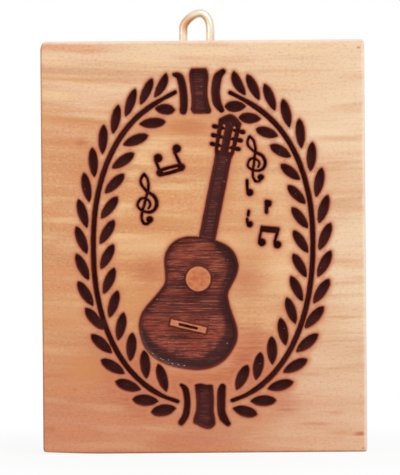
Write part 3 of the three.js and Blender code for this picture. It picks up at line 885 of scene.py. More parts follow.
def apply_modifiers(made: bpy.types.Object) -> None:
    """Turns an object's modifiers into its mesh.

    Args:
        made: The object.
    """
    graph = bpy.context.evaluated_depsgraph_get()
    mesh = bpy.data.meshes.new_from_object(made.evaluated_get(graph))
    made.modifiers.clear()
    made.data = mesh


def cut(made: bpy.types.Object, tool: bpy.types.Object) -> None:
    """Cuts one solid out of another and removes the first.

    Args:
        made: The solid that is cut.
        tool: The solid that cuts it.
    """
    modifier = made.modifiers.new("cut", "BOOLEAN")
    modifier.operation = "DIFFERENCE"
    modifier.solver = "EXACT"
    modifier.object = tool
    apply_modifiers(made)
    bpy.data.objects.remove(tool)


def soften(made: bpy.types.Object, width: float, angle: float = 32.0, segments: int = 3) -> None:
    """Rounds an object's sharp edges.

    Args:
        made: The object.
        width: The rounding's width in millimetres.
        angle: The least angle between two faces that are rounded, in degrees.
        segments: How many faces the rounding has.
    """
    modifier = made.modifiers.new("soften", "BEVEL")
    modifier.width = width * MM
    modifier.segments = segments
    modifier.limit_method = "ANGLE"
    modifier.angle_limit = math.radians(angle)
    apply_modifiers(made)
    smooth(made, 40.0)


def smooth(made: bpy.types.Object, angle: float) -> None:
    """Shades an object smooth, and keeps the edges that turn more than an angle in degrees sharp."""
    made.data.shade_smooth()
    made.data.set_sharp_from_angle(angle=math.radians(angle))


# The board


def noise_sheet(shape: tuple[int, int], cell: float, seed: int) -> np.ndarray:
    """Makes smooth random values between -1 and 1 over a grid.

    Args:
        shape: The grid's rows and columns.
        cell: How many grid steps lie between two random values.
        seed: The seed of the random numbers.

    Returns:
        The values, one for each grid point.
    """
    rows, columns = (int(n / cell) + 3 for n in shape)
    dice = np.random.default_rng(seed).uniform(-1, 1, (rows, columns))
    y, x = np.arange(shape[0]) / cell, np.arange(shape[1]) / cell
    j, i = y.astype(int), x.astype(int)
    v, u = y - j, x - i
    v, u = (v * v * (3 - 2 * v))[:, None], (u * u * (3 - 2 * u))[None, :]
    low = dice[np.ix_(j, i)] * (1 - u) + dice[np.ix_(j, i + 1)] * u
    high = dice[np.ix_(j + 1, i)] * (1 - u) + dice[np.ix_(j + 1, i + 1)] * u
    return low * (1 - v) + high * v


@dataclass
class FacetedOutlines:
    """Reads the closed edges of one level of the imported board, and draws smooth lines through them.

    Attributes:
        node: The solid to read.
        level: The y of the flat level, in millimetres.
        corner: The least turn that stays a corner, in degrees.
        spacing: The distance between two points of a smooth line, in millimetres.
        flatness: How far a triangle on the level may lie from it.
        shortest: The least gap between two points of an outline.
    """

    node: Node
    level: float
    corner: float = 50.0
    spacing: float = 0.12
    flatness: float = 0.005
    shortest: float = 0.06

    def edges(self) -> dict[tuple[float, float], list[tuple[float, float]]]:
        """Finds the edges that bound the level's triangles.

        Returns:
            The edges' end points, by their start points.
        """
        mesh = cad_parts[self.node.value].data
        mesh.calc_loop_triangles()
        corners = np.empty(len(mesh.loop_triangles) * 3, dtype=np.int64)
        mesh.loop_triangles.foreach_get("vertices", corners)
        triangles = mesh_places(mesh)[corners.reshape(-1, 3)]
        flat = triangles[np.all(np.abs(triangles[:, :, 1] - self.level) < self.flatness, axis=1)]
        found = set()
        for triangle in flat:
            keys = [(round(float(p[0]), 3), round(float(p[2]), 3)) for p in triangle]
            found.update(zip(keys, keys[1:] + keys[:1]))
        after: dict[tuple[float, float], list[tuple[float, float]]] = {}
        for start, end in sorted(found):
            if start != end and (end, start) not in found:
                after.setdefault(start, []).append(end)
        return after

    def rims(self) -> list[np.ndarray]:
        """Chains the edges into closed lines.

        Returns:
            The lines' points, with the line that takes the most room first.
        """
        after = self.edges()
        rims = []
        while after:
            start = next(iter(after))
            line = [start]
            here = start
            while True:
                ends = after[here]
                following = ends.pop()
                if not ends:
                    del after[here]
                if following == start or following not in after:
                    break
                line.append(following)
                here = following
            rims.append(np.array(line))
        return sorted(rims, key=lambda rim: -np.ptp(rim[:, 0]) * np.ptp(rim[:, 1]))

    def smooth(self, rim: np.ndarray) -> np.ndarray:
        """Draws a smooth closed line through an outline's points, and keeps its corners.

        Args:
            rim: The outline's points.

        Returns:
            The line's points.
        """
        gaps = np.linalg.norm(np.roll(rim, -1, 0) - rim, axis=1)
        points = rim[gaps > self.shortest]
        sides = np.roll(points, -1, 0) - points
        lengths = np.linalg.norm(sides, axis=1)
        ways = sides / lengths[:, None]
        turns = np.degrees(np.arccos(np.clip(np.sum(ways * np.roll(ways, 1, 0), axis=1), -1, 1)))
        chords = np.roll(points, -1, 0) - np.roll(points, 1, 0)
        tangents = chords / np.maximum(np.linalg.norm(chords, axis=1), 1e-6)[:, None]
        line = []
        for i, (point, side, length, way) in enumerate(zip(points, sides, lengths, ways)):
            following = (i + 1) % len(points)
            leaving = way if turns[i] > self.corner else tangents[i]
            arriving = way if turns[following] > self.corner else tangents[following]
            count = max(1, round(length / self.spacing))
            t = np.arange(count)[:, None] / count
            line.append(
                point
                + side * (3 * t**2 - 2 * t**3)
                + leaving * length * (t - 2 * t**2 + t**3)
                + arriving * length * (t**3 - t**2)
            )
        return np.concatenate(line)


@dataclass
class DistanceGrid:
    """Distances from closed lines on a fine grid over the board's face: more than 0 inside them.

    Attributes:
        low: The grid's lowest x and z, in millimetres.
        high: Its highest x and z.
        step: The distance between two grid lines.
        reach: The longest distance that is worked out.
        values: The distances, with a row for each z.
    """

    low: tuple[float, float]
    high: tuple[float, float]
    step: float = 0.15
    reach: float = 2.4
    values: np.ndarray = field(init=False)

    def fill(self, lines: list[np.ndarray]) -> None:
        """Works out every grid point's distance to the nearest line.

        Args:
            lines: Closed lines that together bound the inside.
        """
        columns = int((self.high[0] - self.low[0]) / self.step) + 1
        rows = int((self.high[1] - self.low[1]) / self.step) + 1
        squared = np.full((rows, columns), self.reach**2)
        toggles = np.zeros((rows, columns + 1), dtype=np.int32)
        xs = self.low[0] + self.step * np.arange(columns)
        zs = self.low[1] + self.step * np.arange(rows)
        margin = int(self.reach / self.step) + 2
        for line in lines:
            self.cross(line, np.roll(line, -1, 0), toggles)
            for start, end in zip(line, np.roll(line, -1, 0)):
                i = int((start[0] - self.low[0]) / self.step)
                j = int((start[1] - self.low[1]) / self.step)
                across = slice(max(0, i - margin), max(0, i + margin))
                up = slice(max(0, j - margin), max(0, j + margin))
                dx, dz = xs[across][None, :] - start[0], zs[up][:, None] - start[1]
                ux, uz = end - start
                share = np.clip((dx * ux + dz * uz) / max(ux * ux + uz * uz, 1e-12), 0, 1)
                gap = (dx - share * ux) ** 2 + (dz - share * uz) ** 2
                np.minimum(squared[up, across], gap, out=squared[up, across])
        within = np.cumsum(toggles, axis=1)[:, :columns] % 2 == 1
        self.values = np.where(within, 1, -1) * np.sqrt(squared)

    def cross(self, starts: np.ndarray, ends: np.ndarray, toggles: np.ndarray) -> None:
        """Marks where the segments of a line cross the grid's rows.

        Args:
            starts: The segments' first points.
            ends: Their last points.
            toggles: The count of crossings before each grid point, which is added to.
        """
        for start, end in zip(starts, ends):
            lower, upper = sorted((start[1], end[1]))
            first = math.ceil((lower - self.low[1]) / self.step)
            last = math.ceil((upper - self.low[1]) / self.step)
            for row in range(first, last):
                z = self.low[1] + row * self.step
                x = start[0] + (end[0] - start[0]) * (z - start[1]) / (end[1] - start[1])
                toggles[row, math.ceil((x - self.low[0]) / self.step)] += 1

    def sample(self, points: np.ndarray) -> np.ndarray:
        """Reads the distances at any points, between the grid's own.

        Args:
            points: The points.

        Returns:
            A distance for each point.
        """
        rows, columns = self.values.shape
        x = np.clip((points[:, 0] - self.low[0]) / self.step, 0, columns - 1.001)
        z = np.clip((points[:, 1] - self.low[1]) / self.step, 0, rows - 1.001)
        i, j = x.astype(int), z.astype(int)
        u, v = x - i, z - j
        lower = self.values[j, i] * (1 - u) + self.values[j, i + 1] * u
        upper = self.values[j + 1, i] * (1 - u) + self.values[j + 1, i + 1] * u
        return lower * (1 - v) + upper * v

    def contours(self, level: float) -> list[np.ndarray]:
        """Draws the closed lines along which the distance has one value.

        Args:
            level: The distance.

        Returns:
            The lines' points.
        """
        above = self.values > level
        rows, columns = above.shape
        kinds = above[:-1, :-1] + 2 * above[:-1, 1:] + 4 * above[1:, 1:] + 8 * above[1:, :-1]
        ways = {
            1: ((3, 0),), 2: ((0, 1),), 3: ((3, 1),), 4: ((1, 2),), 5: ((3, 2), (0, 1)),
            6: ((0, 2),), 7: ((3, 2),), 8: ((2, 3),), 9: ((2, 0),), 10: ((0, 3), (1, 2)),
            11: ((2, 1),), 12: ((1, 3),), 13: ((1, 0),), 14: ((0, 3),),
        }
        neighbours: dict[int, list[int]] = {}
        for kind, pairs in ways.items():
            for j, i in zip(*(part.tolist() for part in np.nonzero(kinds == kind))):
                flat, upright = j * columns + i, rows * columns + j * columns + i
                names = (flat, upright + 1, flat + columns, upright)
                for first, second in pairs:
                    neighbours.setdefault(names[first], []).append(names[second])
                    neighbours.setdefault(names[second], []).append(names[first])
        lines = []
        while neighbours:
            start, (here, _) = next(iter(neighbours.items()))
            chain, before = [start], start
            while here != start:
                chain.append(here)
                first, second = neighbours[here]
                before, here = here, second if first == before else first
            for name in chain:
                del neighbours[name]
            lines.append(self.crossings(np.array(chain), level))
        return lines

    def crossings(self, names: np.ndarray, level: float) -> np.ndarray:
        """Finds where the distance takes a value on some of the grid's edges.

        Args:
            names: The edges' numbers: first all that lie along x, then all that lie along z.
            level: The distance.

        Returns:
            One point for each edge.
        """
        rows, columns = self.values.shape
        upright = names >= rows * columns
        j, i = np.divmod(names % (rows * columns), columns)
        start = self.values[j, i]
        end = self.values[np.where(upright, j + 1, j), np.where(upright, i, i + 1)]
        share = (level - start) / (end - start)
        x = self.low[0] + self.step * (i + np.where(upright, 0, share))
        z = self.low[1] + self.step * (j + np.where(upright, share, 0))
        return np.stack((x, z), axis=1)


def thinned(line: np.ndarray, tolerance: float, longest: float) -> np.ndarray:
    """Leaves out the points of a closed line that it hardly bends at.

    Args:
        line: The line's points.
        tolerance: How far the line may move.
        longest: The longest gap between two points that stay.

    Returns:
        The points that stay.
    """
    kept = [0]
    count = len(line)
    i = 0
    while i < count:
        j = i + 1
        while j < count:
            chord = line[j] - line[i]
            length = math.hypot(*chord)
            if length > longest:
                break
            between = line[i + 1:j] - line[i]
            if len(between) and length > 0:
                away = np.abs(between[:, 0] * chord[1] - between[:, 1] * chord[0]) / length
                if away.max() > tolerance:
                    break
            j += 1
        i = max(i + 1, j - 1)
        if i < count - 1:
            kept.append(i)
        else:
            break
    return line[kept]


def closed(first: int, count: int) -> list[tuple[int, int]]:
    """Lists the edges of a closed line, by the numbers of its points."""
    return [(first + k, first + (k + 1) % count) for k in range(count)]


def triangulated(
    places: list[np.ndarray], edges: list[tuple[int, int]],
) -> tuple[np.ndarray, np.ndarray, np.ndarray]:
    """Joins flat points into triangles.

    Args:
        places: The points, in groups.
        edges: The edges that have to stay, by the points' numbers.

    Returns:
        The points that come out, the triangles, and the number that each given point got.
    """
    flat = [Vector(point) for point in np.concatenate(places).tolist()]
    found, _, triangles, sources, _, _ = delaunay_2d_cdt(flat, edges, [], 0, MERGE_DISTANCE)
    became = np.zeros(len(flat), dtype=int)
    for number, names in enumerate(sources):
        became[names] = number
    return np.array([tuple(point) for point in found]), np.array(triangles), became


@dataclass(frozen=True)
class FlatLayout:
    """How the board's faces lie in the unit square of their flat layout.

    Attributes:
        front: How much of the square a millimetre of the carved face takes.
        back: How much a millimetre of the back takes.
        side: How much a millimetre of the sides takes.
        margin: The gap along the square's edges.
        back_start: How far across the square the back starts.
        sides_start: How far up the sides start.
        strip_length: The room for a side's length, in millimetres.
        strip_width: The room for its thickness.
    """

    front: float = 0.0057
    back: float = 0.0028
    side: float = 0.0038
    margin: float = 0.005
    back_start: float = 0.66
    sides_start: float = 0.82
    strip_length: float = 144.0
    strip_width: float = 23.0


@dataclass
class CarvedBoard:
    """The plank, with its worn edges, its carved and burnt face and the screw's hole in its back.

    Lengths are in millimetres.

    Attributes:
        width: The board's width.
        height: Its height.
        thickness: Its thickness.
        arris: How far its worn edges are rounded.
        corners: The corners' cuts from the lower right anticlockwise, across and along.
        least_corner: The least radius that a corner keeps.
        corner_steps: How many points a corner's rounding has.
        arris_steps: How many points a worn edge's rounding has.
        side_steps: How many points lie between two of those, with both ends.
        spacing: The longest gap between two points of the outline.
        foot_lift: How far the lower left corner has worn up.
        foot_start: The x where that begins.
        foot_reach: How far to the left of it the wear is full.
        foot_power: How slowly it begins.
        motif_depth: The depth of the small recesses.
        guitar_depth: The depth of the guitar's body.
        guitar_wall: The distances inside the guitar's edge between which it gets deeper.
        cutter: The radius of the carving cutter, which rounds the recesses' outer corners.
        unevenness: How far the carved edges waver, in cells of how many grid steps, and the seed.
        wall_steps: Distances inside the carving, and the depth at each.
        least_core: The fewest points that a line of the cutter's path has.
        least_crossings: The fewest grid lines that a line of the face crosses.
        least_points: The fewest points that it keeps.
        bend: How far a line of the face may move when points are left out.
        stretch: The longest gap between the points that stay.
        scatter: The spacing of the points on the plain face and on the recesses' floors, and the
            distances inside the carving that they lie between.
        edge_gap: How far the scattered points stay from the board's edges.
        back_spacing: The spacing of the points on the back.
        back_gap: How far they stay from its edges.
        hole_place: The screw hole's middle, as x and z.
        hole_radius: Its radius.
        hole_depth: Its depth.
        hole_point: How far its pointed end goes on.
        hole_sides: How many sides it has.
        hole_gap: How far the points on the back stay from it.
        oval: Half the width and half the height of the oval that the wreath lies on.
        oval_height: The z of its middle.
        oval_power: How full it is: 2 for an ellipse, and more for a fuller one.
        layout: Where the faces lie in the flat layout.
        grid: The distances inside the carving.
        guitar: The distances inside the guitar's body.
    """

    width: float = BOARD_WIDTH
    height: float = BOARD_HEIGHT
    thickness: float = BOARD_THICKNESS
    arris: float = 0.9
    corners: tuple[tuple[float, float], ...] = ((1.0, 1.1), (1.3, 1.2), (2.0, 3.0), (0.8, 1.2))
    least_corner: float = 0.15
    corner_steps: int = 7
    arris_steps: int = 6
    side_steps: int = 9
    spacing: float = 1.6
    foot_lift: float = 0.7
    foot_start: float = -34.0
    foot_reach: float = 21.0
    foot_power: float = 1.6
    motif_depth: float = 3.6
    guitar_depth: float = 4.6
    guitar_wall: tuple[float, float] = (0.15, 0.9)
    cutter: float = 0.3
    unevenness: tuple[tuple[float, float, int], ...] = ((0.05, 7.0, 11), (0.03, 3.0, 12))
    wall_steps: tuple[tuple[float, float], ...] = (
        (-1.1, 0.0), (-0.5, 0.0), (-0.26, 0.035), (-0.08, 0.16),
        (0.06, 0.5), (0.28, 2.4), (0.46, 3.35), (0.8, 3.6),
    )
    least_core: int = 7
    least_crossings: int = 8
    least_points: int = 4
    bend: float = 0.014
    stretch: float = 0.7
    scatter: tuple[tuple[float, float, float], ...] = ((1.6, -9.0, -1.45), (0.9, 1.05, 9.0))
    edge_gap: float = 2.0
    back_spacing: float = 4.0
    back_gap: float = 3.0
    hole_place: tuple[float, float] = (HANGER_X, SCREW_HEIGHT)
    hole_radius: float = 1.75
    hole_depth: float = 11.0
    hole_point: float = 2.0
    hole_sides: int = 32
    hole_gap: float = 1.0
    oval: tuple[float, float] = (37.2, 53.3)
    oval_height: float = 69.7
    oval_power: float = 2.2
    layout: FlatLayout = FlatLayout()
    grid: DistanceGrid = field(
        default_factory=lambda: DistanceGrid((-BOARD_WIDTH / 2, 0.0), (BOARD_WIDTH / 2, BOARD_HEIGHT)),
    )
    guitar: DistanceGrid = field(
        default_factory=lambda: DistanceGrid((-32.0, 18.0), (28.0, 84.0), step=0.5, reach=14.0),
    )

    def survey(self) -> None:
        """Works out every face point's distance from the carving's edges and the guitar's body."""
        rims = FacetedOutlines(Node.BOARD, -self.thickness / 2)
        self.grid.fill([rims.smooth(rim) for rim in rims.rims()[1:]])
        cores = self.grid.contours(self.cutter)
        self.grid.fill([core for core in cores if len(core) >= self.least_core])
        self.grid.values += self.cutter
        for amount, cell, seed in self.unevenness:
            self.grid.values += amount * noise_sheet(self.grid.values.shape, cell, seed)
        floor = FacetedOutlines(Node.BOARD, -self.thickness / 2 + self.guitar_depth)
        self.guitar.fill([floor.smooth(rim)[::3] for rim in floor.rims()[:1]])

    def outline(self, inset: float) -> np.ndarray:
        """Draws the board's outline, with its worn corners, moved inwards.

        Args:
            inset: How far it is moved.

        Returns:
            The outline's points, anticlockwise from the middle of the lower edge.
        """
        half = self.width / 2
        centre = np.array((0.0, self.height / 2))
        places = ((half, 0.0), (half, self.height), (-half, self.height), (-half, 0.0))
        points = [np.array(((0.0, inset),))]
        for number, (place, corner) in enumerate(zip(places, self.corners)):
            angles = np.linspace(0, math.pi / 2, self.corner_steps) + (number - 1) * math.pi / 2
            reach = np.maximum(corner, inset + self.least_corner)
            middle = np.array(place) + reach * np.sign(centre - place)
            points.append(middle + np.stack((np.cos(angles), np.sin(angles)), axis=1) * (reach - inset))
        ring = np.concatenate(points)
        filled = []
        for point, side in zip(ring, np.roll(ring, -1, 0) - ring):
            count = max(1, math.ceil(math.hypot(*side) / self.spacing))
            filled.append(point + side * (np.arange(count) / count)[:, None])
        line = np.concatenate(filled)
        wear_and_edge_highlight = np.clip((self.foot_start - line[:, 0]) / self.foot_reach, 0, 1) ** self.foot_power
        line[:, 1] += self.foot_lift * wear_and_edge_highlight * np.maximum(1 - line[:, 1] / (self.height / 4), 0)
        return line

    def depth(self, inside: np.ndarray, guitar: np.ndarray) -> np.ndarray:
        """Gives the carving's depth.

        Args:
            inside: The distance inside the carving's edges.
            guitar: The distance inside the guitar's body.

        Returns:
            The depth below the face.
        """
        steps = np.array(self.wall_steps)
        walls = np.interp(inside, steps[:, 0], steps[:, 1])
        extra = (0.0, self.guitar_depth - self.motif_depth)
        return walls + np.interp(np.minimum(guitar, inside), self.guitar_wall, extra)

    def lattice(self, spacing: float, low: float, high: float) -> np.ndarray:
        """Scatters points in even rows over a part of the face.

        Args:
            spacing: The distance between two points.
            low: The least distance inside the carving that they have.
            high: The largest one.

        Returns:
            The points.
        """
        half = self.width / 2 - self.edge_gap
        rows = np.arange(self.edge_gap, self.height - self.edge_gap, spacing * TRIANGLE_HEIGHT)
        points = np.array([
            (x, z)
            for number, z in enumerate(rows)
            for x in np.arange(-half + (number % 2) * spacing / 2, half, spacing)
        ])
        inside = self.grid.sample(points)
        return points[(inside > low) & (inside < high)]

    def face(self, rim: np.ndarray) -> tuple[np.ndarray, np.ndarray, np.ndarray, np.ndarray]:
        """Covers the carved face with triangles that follow the carving's edges.

        Args:
            rim: The face's outline, inside the worn edges.

        Returns:
            The points as x and z, the distance inside the carving at each, the triangles, and the
            number that each of the rim's points got.
        """
        places, inside = [rim], [np.full(len(rim), -self.grid.reach)]
        edges = closed(0, len(rim))
        count = len(rim)
        for level, _ in self.wall_steps:
            lines = [line for line in self.grid.contours(level) if len(line) >= self.least_crossings]
            for line in (thinned(line, self.bend, self.stretch) for line in lines):
                if len(line) >= self.least_points:
                    places.append(line)
                    inside.append(np.full(len(line), level))
                    edges += closed(count, len(line))
                    count += len(line)
        for spacing, low, high in self.scatter:
            points = self.lattice(spacing, low, high)
            places.append(points)
            inside.append(self.grid.sample(points))
        points, triangles, became = triangulated(places, edges)
        distance = self.grid.sample(points)
        distance[became] = np.concatenate(inside)
        return points, distance, triangles, became[:len(rim)]

    def back(self, rim: np.ndarray) -> tuple[np.ndarray, np.ndarray, np.ndarray, np.ndarray]:
        """Covers the plain back round the screw's hole.

        Args:
            rim: The back's outline, inside the worn edges.

        Returns:
            The points as x and z, the triangles, and the numbers of the rim's and the hole's points.
        """
        hole = np.array(self.hole_place) + self.hole_radius * circle(self.hole_sides).T
        half, gap = self.width / 2 - self.back_gap, self.back_gap
        columns = np.arange(-half, half, self.back_spacing)
        rows = np.arange(gap, self.height - gap, self.back_spacing)
        spread = np.array([(x, z) for z in rows for x in columns])
        away = np.linalg.norm(spread - self.hole_place, axis=1)
        spread = spread[away > self.hole_radius + self.hole_gap]
        edges = closed(0, len(rim)) + closed(len(rim), len(hole))
        points, triangles, became = triangulated([rim, hole, spread], edges)
        middles = points[triangles].mean(axis=1)
        kept = np.linalg.norm(middles - self.hole_place, axis=1) > self.hole_radius
        return points, triangles[kept], became[:len(rim)], became[len(rim):len(rim) + len(hole)]

    def levels(self) -> list[tuple[float, float]]:
        """Lists the steps by which the outline goes round the worn edges and down the sides.

        Returns:
            How far the outline is moved inwards at each step, and its y.
        """
        front, rear = -self.thickness / 2, self.thickness / 2
        angles = np.linspace(0, math.pi / 2, self.arris_steps)[1:]
        curve = [(self.arris * (1 - math.sin(a)), self.arris * (1 - math.cos(a))) for a in angles]
        steps = [(inset, front + y) for inset, y in curve]
        heights = np.linspace(front + self.arris, rear - self.arris, self.side_steps)
        steps += [(0.0, y) for y in heights[1:-1]]
        return steps + [(inset, rear - y) for inset, y in reversed(curve)]

    def build(self) -> bpy.types.Object:
        """Makes the board's mesh: the face, the back, the sides with their worn edges and the hole.

        Returns:
            The board.
        """
        self.survey()
        rim = self.outline(self.arris)
        points, inside, triangles, before = self.face(rim)
        guitar = self.guitar.sample(points)
        depth = self.depth(inside, guitar)
        rear = self.thickness / 2
        skin = Skin()
        skin.add(points[:, 0], depth - rear, points[:, 1])
        skin.faces += triangles.tolist()

        points, triangles, back_rim, hole = self.back(rim)
        numbers = skin.add(points[:, 0], rear, points[:, 1])
        skin.faces += numbers[triangles[:, ::-1]].tolist()
        for inset, y in self.levels():
            line = self.outline(inset)
            ring = skin.add(line[:, 0], y, line[:, 1])
            skin.join(before, ring)
            before = ring
        skin.join(before, numbers[back_rim])

        hole = numbers[hole]
        bottom = rear - self.hole_depth
        for share, y in ((0.97, rear - 0.2), (0.97, bottom), (0.2, bottom - self.hole_point)):
            cosines, sines = share * self.hole_radius * circle(self.hole_sides)
            inner = skin.add(self.hole_place[0] + cosines, y, self.hole_place[1] + sines)
            skin.join(inner, hole)
            hole = inner
        skin.faces.append(hole.tolist())

        board = skin.make("carved_board", turning=False)
        self.store(board.data, inside, guitar)
        self.unwrap(board.data)
        smooth(board, 48.0)
        return board

    def store(self, mesh: bpy.types.Mesh, inside: np.ndarray, guitar: np.ndarray) -> None:
        """Keeps at every point what the finish needs to know about the carving.

        Args:
            mesh: The board's mesh, whose first points are the carved face's.
            inside: The face points' distances inside the carving.
            guitar: Their distances inside the guitar's body.
        """
        x, y, z = mesh_places(mesh).T
        half_width, half_height = self.oval
        power = self.oval_power
        across, up = np.abs(x / half_width), np.abs((z - self.oval_height) / half_height)
        within = (1 - (across**power + up**power) ** (1 / power)) * half_width
        far = -20.0
        wreath = np.where(y < 0, within, far)
        rests = (("inside", inside, -3.0), ("guitar", guitar, -self.guitar.reach), ("wreath", wreath, far))
        for name, values, rest in rests:
            layer = mesh.attributes.new(name, "FLOAT", "POINT")
            full = np.full(len(mesh.vertices), rest)
            full[:len(values)] = values
            layer.data.foreach_set("value", full.astype(np.float32))

    def unwrap(self, mesh: bpy.types.Mesh) -> None:
        """Lays the board's faces out flat: the carved face large, the back small, the sides in strips.

        Args:
            mesh: The board's mesh.
        """
        layer = mesh.uv_layers.new(name="OFBake")
        places = mesh_places(mesh)
        half, layout = self.width / 2, self.layout
        margin = layout.margin
        floor = self.guitar_depth - self.thickness / 2 + 0.1
        flat = np.zeros((len(mesh.loops), 2))
        for polygon in mesh.polygons:
            loops = slice(polygon.loop_start, polygon.loop_start + polygon.loop_total)
            corners = places[list(polygon.vertices)]
            normal = polygon.normal
            x, y, z = corners.mean(axis=0)
            beyond = max(abs(x) - half, abs(z - self.height / 2) - self.height / 2)
            if y < floor and beyond < -self.arris * 0.6:
                spot = np.stack((corners[:, 0] + half, corners[:, 2]), axis=1) * layout.front + margin
            elif y > self.thickness / 2 - 0.05 or (normal[1] > 0.8 and y > 0):
                spot = np.stack((half - corners[:, 0], corners[:, 2]), axis=1) * layout.back
                spot += (layout.back_start, margin)
            else:
                spot = self.strip(corners, normal) * layout.side + (margin, layout.sides_start)
            flat[loops] = spot
        layer.data.foreach_set("uv", flat.astype(np.float32).ravel())

    def strip(self, corners: np.ndarray, normal: Vector) -> np.ndarray:
        """Places a side face in one of four strips, by the way it looks.

        Args:
            corners: The face's corners.
            normal: The way it looks.

        Returns:
            The corners' places in the strips' area.
        """
        x, y, z = corners.T
        upright = abs(normal[0]) > abs(normal[2])
        along = z if upright else x + self.width / 2 + self.layout.strip_length
        positive = normal[0] > 0 if upright else normal[2] > 0
        across = y + self.thickness / 2 + (0.0 if positive else self.layout.strip_width)
        return np.stack((along, across), axis=1)

    def make(self) -> bpy.types.Object:
        """Builds the board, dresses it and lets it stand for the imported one.

        Returns:
            The board.
        """
        board = self.build()
        board.data.materials.append(ScorchedHardwood().material())
        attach(board, Body.MOULD.value)
        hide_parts(Node.BOARD.value)
        return board


# The hanger


def curve(*controls: tuple[float, float], count: int) -> np.ndarray:
    """Draws one curve from its control points, without its last point.

    Args:
        controls: The control points, from end to end.
        count: How many points to draw.

    Returns:
        The points.
    """
    t = (np.arange(count) / count)[:, None]
    points = [np.array(control) for control in controls]
    while len(points) > 1:
        points = [a * (1 - t) + b * t for a, b in zip(points, points[1:])]
    return points[0]


@dataclass
class WireRing:
    """The hanging ring: a straight bar, two legs and an arch whose top sits a little to the right.

    Lengths are in millimetres.

    Attributes:
        pivot: The middle of the bar.
        wire: The wire's diameter.
        sides: How many sides it has.
        legs: Each leg's distance from the middle.
        rise: The arch's height above the bar.
        arch: How much of that height is curved.
        shift: How far the arch's top sits to the right.
        corner: The radius of the two lower corners.
        wood_reflection: The middle of the painted reflection of the wood, a darker place on the ring, from
            the pivot.
        wood_reflection_reach: How far the painted reflection reaches.
    """

    pivot: Place = (HANGER_X, 12.6, BAR_HEIGHT)
    wire: float = 3.0
    sides: int = 32
    legs: float = 4.7
    rise: float = 15.0
    arch: float = 5.4
    shift: float = 1.1
    corner: float = 2.1
    # A painted reflection of the wood, darker, on the arch's upper left
    wood_reflection: Place = (-3.0, 0.0, 11.0)
    wood_reflection_reach: float = 5.0

    def path(self) -> np.ndarray:
        """Draws the wire's middle line as x and z about the pivot, anticlockwise.

        Returns:
            The line's points.
        """
        legs, spring, top = self.legs, self.rise - self.arch, (self.shift, self.rise)
        inner = legs - self.corner
        right = (self.shift + 0.5 * (legs - self.shift), self.rise)
        left = (self.shift - 0.42 * (legs + self.shift), self.rise)
        return np.concatenate((
            curve((-inner, 0), (inner, 0), count=18),
            curve((inner, 0), (legs, 0), (legs, self.corner), count=16),
            curve((legs, self.corner), (legs, spring), count=24),
            curve((legs, spring), (legs, spring + 0.6 * self.arch), right, top, count=32),
            curve(top, left, (-legs, spring + 0.45 * self.arch), (-legs, spring), count=36),
            curve((-legs, spring), (-legs, self.corner), count=24),
            curve((-legs, self.corner), (-legs, 0), (-inner, 0), count=16),
        ))

    def make(self) -> bpy.types.Object:
        """Sweeps the wire along its line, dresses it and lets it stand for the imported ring.

        Returns:
            The ring.
        """
        line = self.path()
        way = np.roll(line, -1, 0) - np.roll(line, 1, 0)
        way /= np.linalg.norm(way, axis=1)[:, None]
        cosines, sines = circle(self.sides) * self.wire / 2
        x, y, z = self.pivot
        skin = Skin()
        rings = [
            skin.add(x + point[0] + up * cosines, y + sines, z + point[1] - right * cosines)
            for point, (right, up) in zip(line, way)
        ]
        for first, second in zip(rings, rings[1:] + rings[:1]):
            skin.join(first, second)
        ring = skin.make("wire_ring")
        ring.data.shade_smooth()
        # Where the painted reflection of the wood lies
        wood_reflection = tuple(middle + away for middle, away in zip(self.pivot, self.wood_reflection))
        finish = Brass(
            name="polished_brass",
            bright=srgb(238, 223, 202),
            dull=srgb(208, 162, 126),
            roughness=0.27,
            scratch=(1.5, 1.5, 6.0),
            painted_reflection=wood_reflection,
            painted_reflection_reach=self.wood_reflection_reach,
        )
        ring.data.materials.append(finish.material())
        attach(ring, Body.RING.value)
        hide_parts(Node.RING.value)
        return ring


